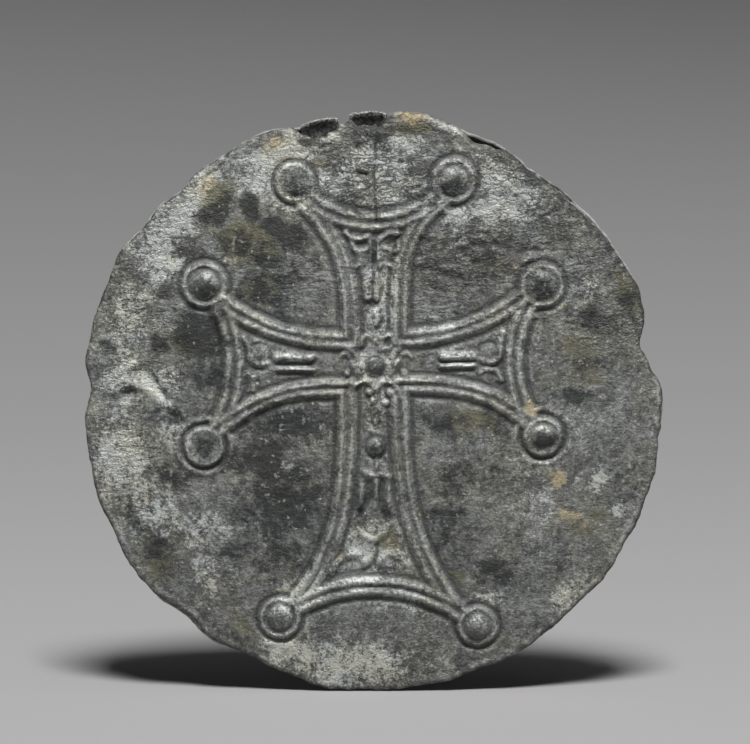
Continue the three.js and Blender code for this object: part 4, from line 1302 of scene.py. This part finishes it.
class MEDALLION_OT_stage(Operator):
    """Adds the floor with its backdrop, the lights and the camera."""

    bl_idname = "medallion.stage"
    bl_label = "Stage"

    def execute(self, context):
        stage = context.scene.medallion_stage
        self.sweep(stage)
        self.lights(context.scene, stage)
        self.camera(context.scene, stage)
        return {"FINISHED"}

    @staticmethod
    def sweep(stage):
        """Floor and backdrop in one, in metres: a profile of a level run, a quarter circle and an
        upright, carried from side to side."""
        near, far, radius, top, half_width = -1.0, 1.6, 0.35, 1.6, 2.0
        bend = np.linspace(0, math.pi / 2, 24)
        depth = np.concatenate([[near], far + radius * np.sin(bend), [far + radius]])
        rise = np.concatenate([[0.0], radius * (1 - np.cos(bend)), [top]])
        side = np.array([[-half_width], [half_width]])
        grid = np.broadcast_arrays(side, depth, LOWEST + rise)
        index = np.arange(grid[0].size).reshape(grid[0].shape)
        floor = add_piece("floor", np.stack(grid, 2).reshape(-1, 3), [grid_quads(index)])
        floor.data.materials.append(paper_finish(stage))

    @staticmethod
    def aim(name, data, target, height, aside, distance):
        """An object at that distance from the target, in a direction given by its angle above
        level and its angle to the right of straight ahead, and turned to look at the target."""
        direction = Vector((
            math.sin(aside) * math.cos(height), -math.cos(aside) * math.cos(height), math.sin(height)
        ))
        holder = bpy.data.objects.new(name, data)
        holder.location = target + direction * distance
        holder.rotation_euler = direction.to_track_quat("Z", "Y").to_euler()
        bpy.context.collection.objects.link(holder)
        return holder

    def lights(self, scene, stage):
        """A large soft lamp above and in front, weaker ones from the right and the front, and an
        even world."""
        settings = [
            ("key", stage.light_height, math.radians(5.5), 1.6, 0.4, stage.light_power),
            ("side", math.radians(68), math.radians(34), 1.4, 0.7, stage.light_power * 0.03),
            ("fill", math.radians(14), math.radians(-8), 1.6, 0.7, 0.8),
        ]
        for name, height, aside, distance, size, power in settings:
            lamp = bpy.data.lights.new(name, "AREA")
            lamp.shape = "SQUARE"
            lamp.size = size
            lamp.energy = power
            self.aim(name, lamp, Vector(), height, aside, distance)
        scene.world = scene.world or bpy.data.worlds.new("World")
        scene.world.use_nodes = True
        background = scene.world.node_tree.nodes["Background"]
        background.inputs["Color"].default_value = (0.9, 0.95, 1.0, 1)
        background.inputs["Strength"].default_value = 0.05

    def camera(self, scene, stage):
        """A long lens, aimed at the point of the face in the middle of the photograph."""
        lens = bpy.data.cameras.new("camera")
        lens.sensor_width = 36
        lens.lens = lens.sensor_width * stage.camera_distance / stage.field_width
        middle = Vector((0.37, -2.0, 3.64)) * MM
        height, distance = stage.camera_height, stage.camera_distance
        scene.camera = self.aim("camera", lens, middle, height, 0, distance)
        scene.view_settings.view_transform = "Standard"


STEPS = (
    MEDALLION_OT_front, MEDALLION_OT_back, MEDALLION_OT_solder, MEDALLION_OT_stubs, MEDALLION_OT_stage
)


class MEDALLION_PT_panel(Panel):
    """Lists the steps in the 3D view's sidebar."""

    bl_idname = "MEDALLION_PT_panel"
    bl_label = "Medallion"
    bl_space_type = "VIEW_3D"
    bl_region_type = "UI"
    bl_category = "Medallion"

    def draw(self, context):
        for step in STEPS:
            self.layout.operator(step.bl_idname)


SETTINGS = {
    "medallion_sheets": MEDALLION_PG_sheets,
    "medallion_patina": MEDALLION_PG_patina,
    "medallion_stage": MEDALLION_PG_stage,
}
CLASSES = (*SETTINGS.values(), *STEPS, MEDALLION_PT_panel)


def register():
    for part in CLASSES:
        bpy.utils.register_class(part)
    for name, group in SETTINGS.items():
        setattr(bpy.types.Scene, name, PointerProperty(type=group))


def unregister():
    for name in SETTINGS:
        delattr(bpy.types.Scene, name)
    for part in reversed(CLASSES):
        bpy.utils.unregister_class(part)


def main():
    register()
    bpy.ops.medallion.front_sheet()
    bpy.ops.medallion.back_sheet()
    bpy.ops.medallion.solder()
    bpy.ops.medallion.stubs()
    bpy.ops.medallion.stage()


if __name__ == "__main__":
    main()
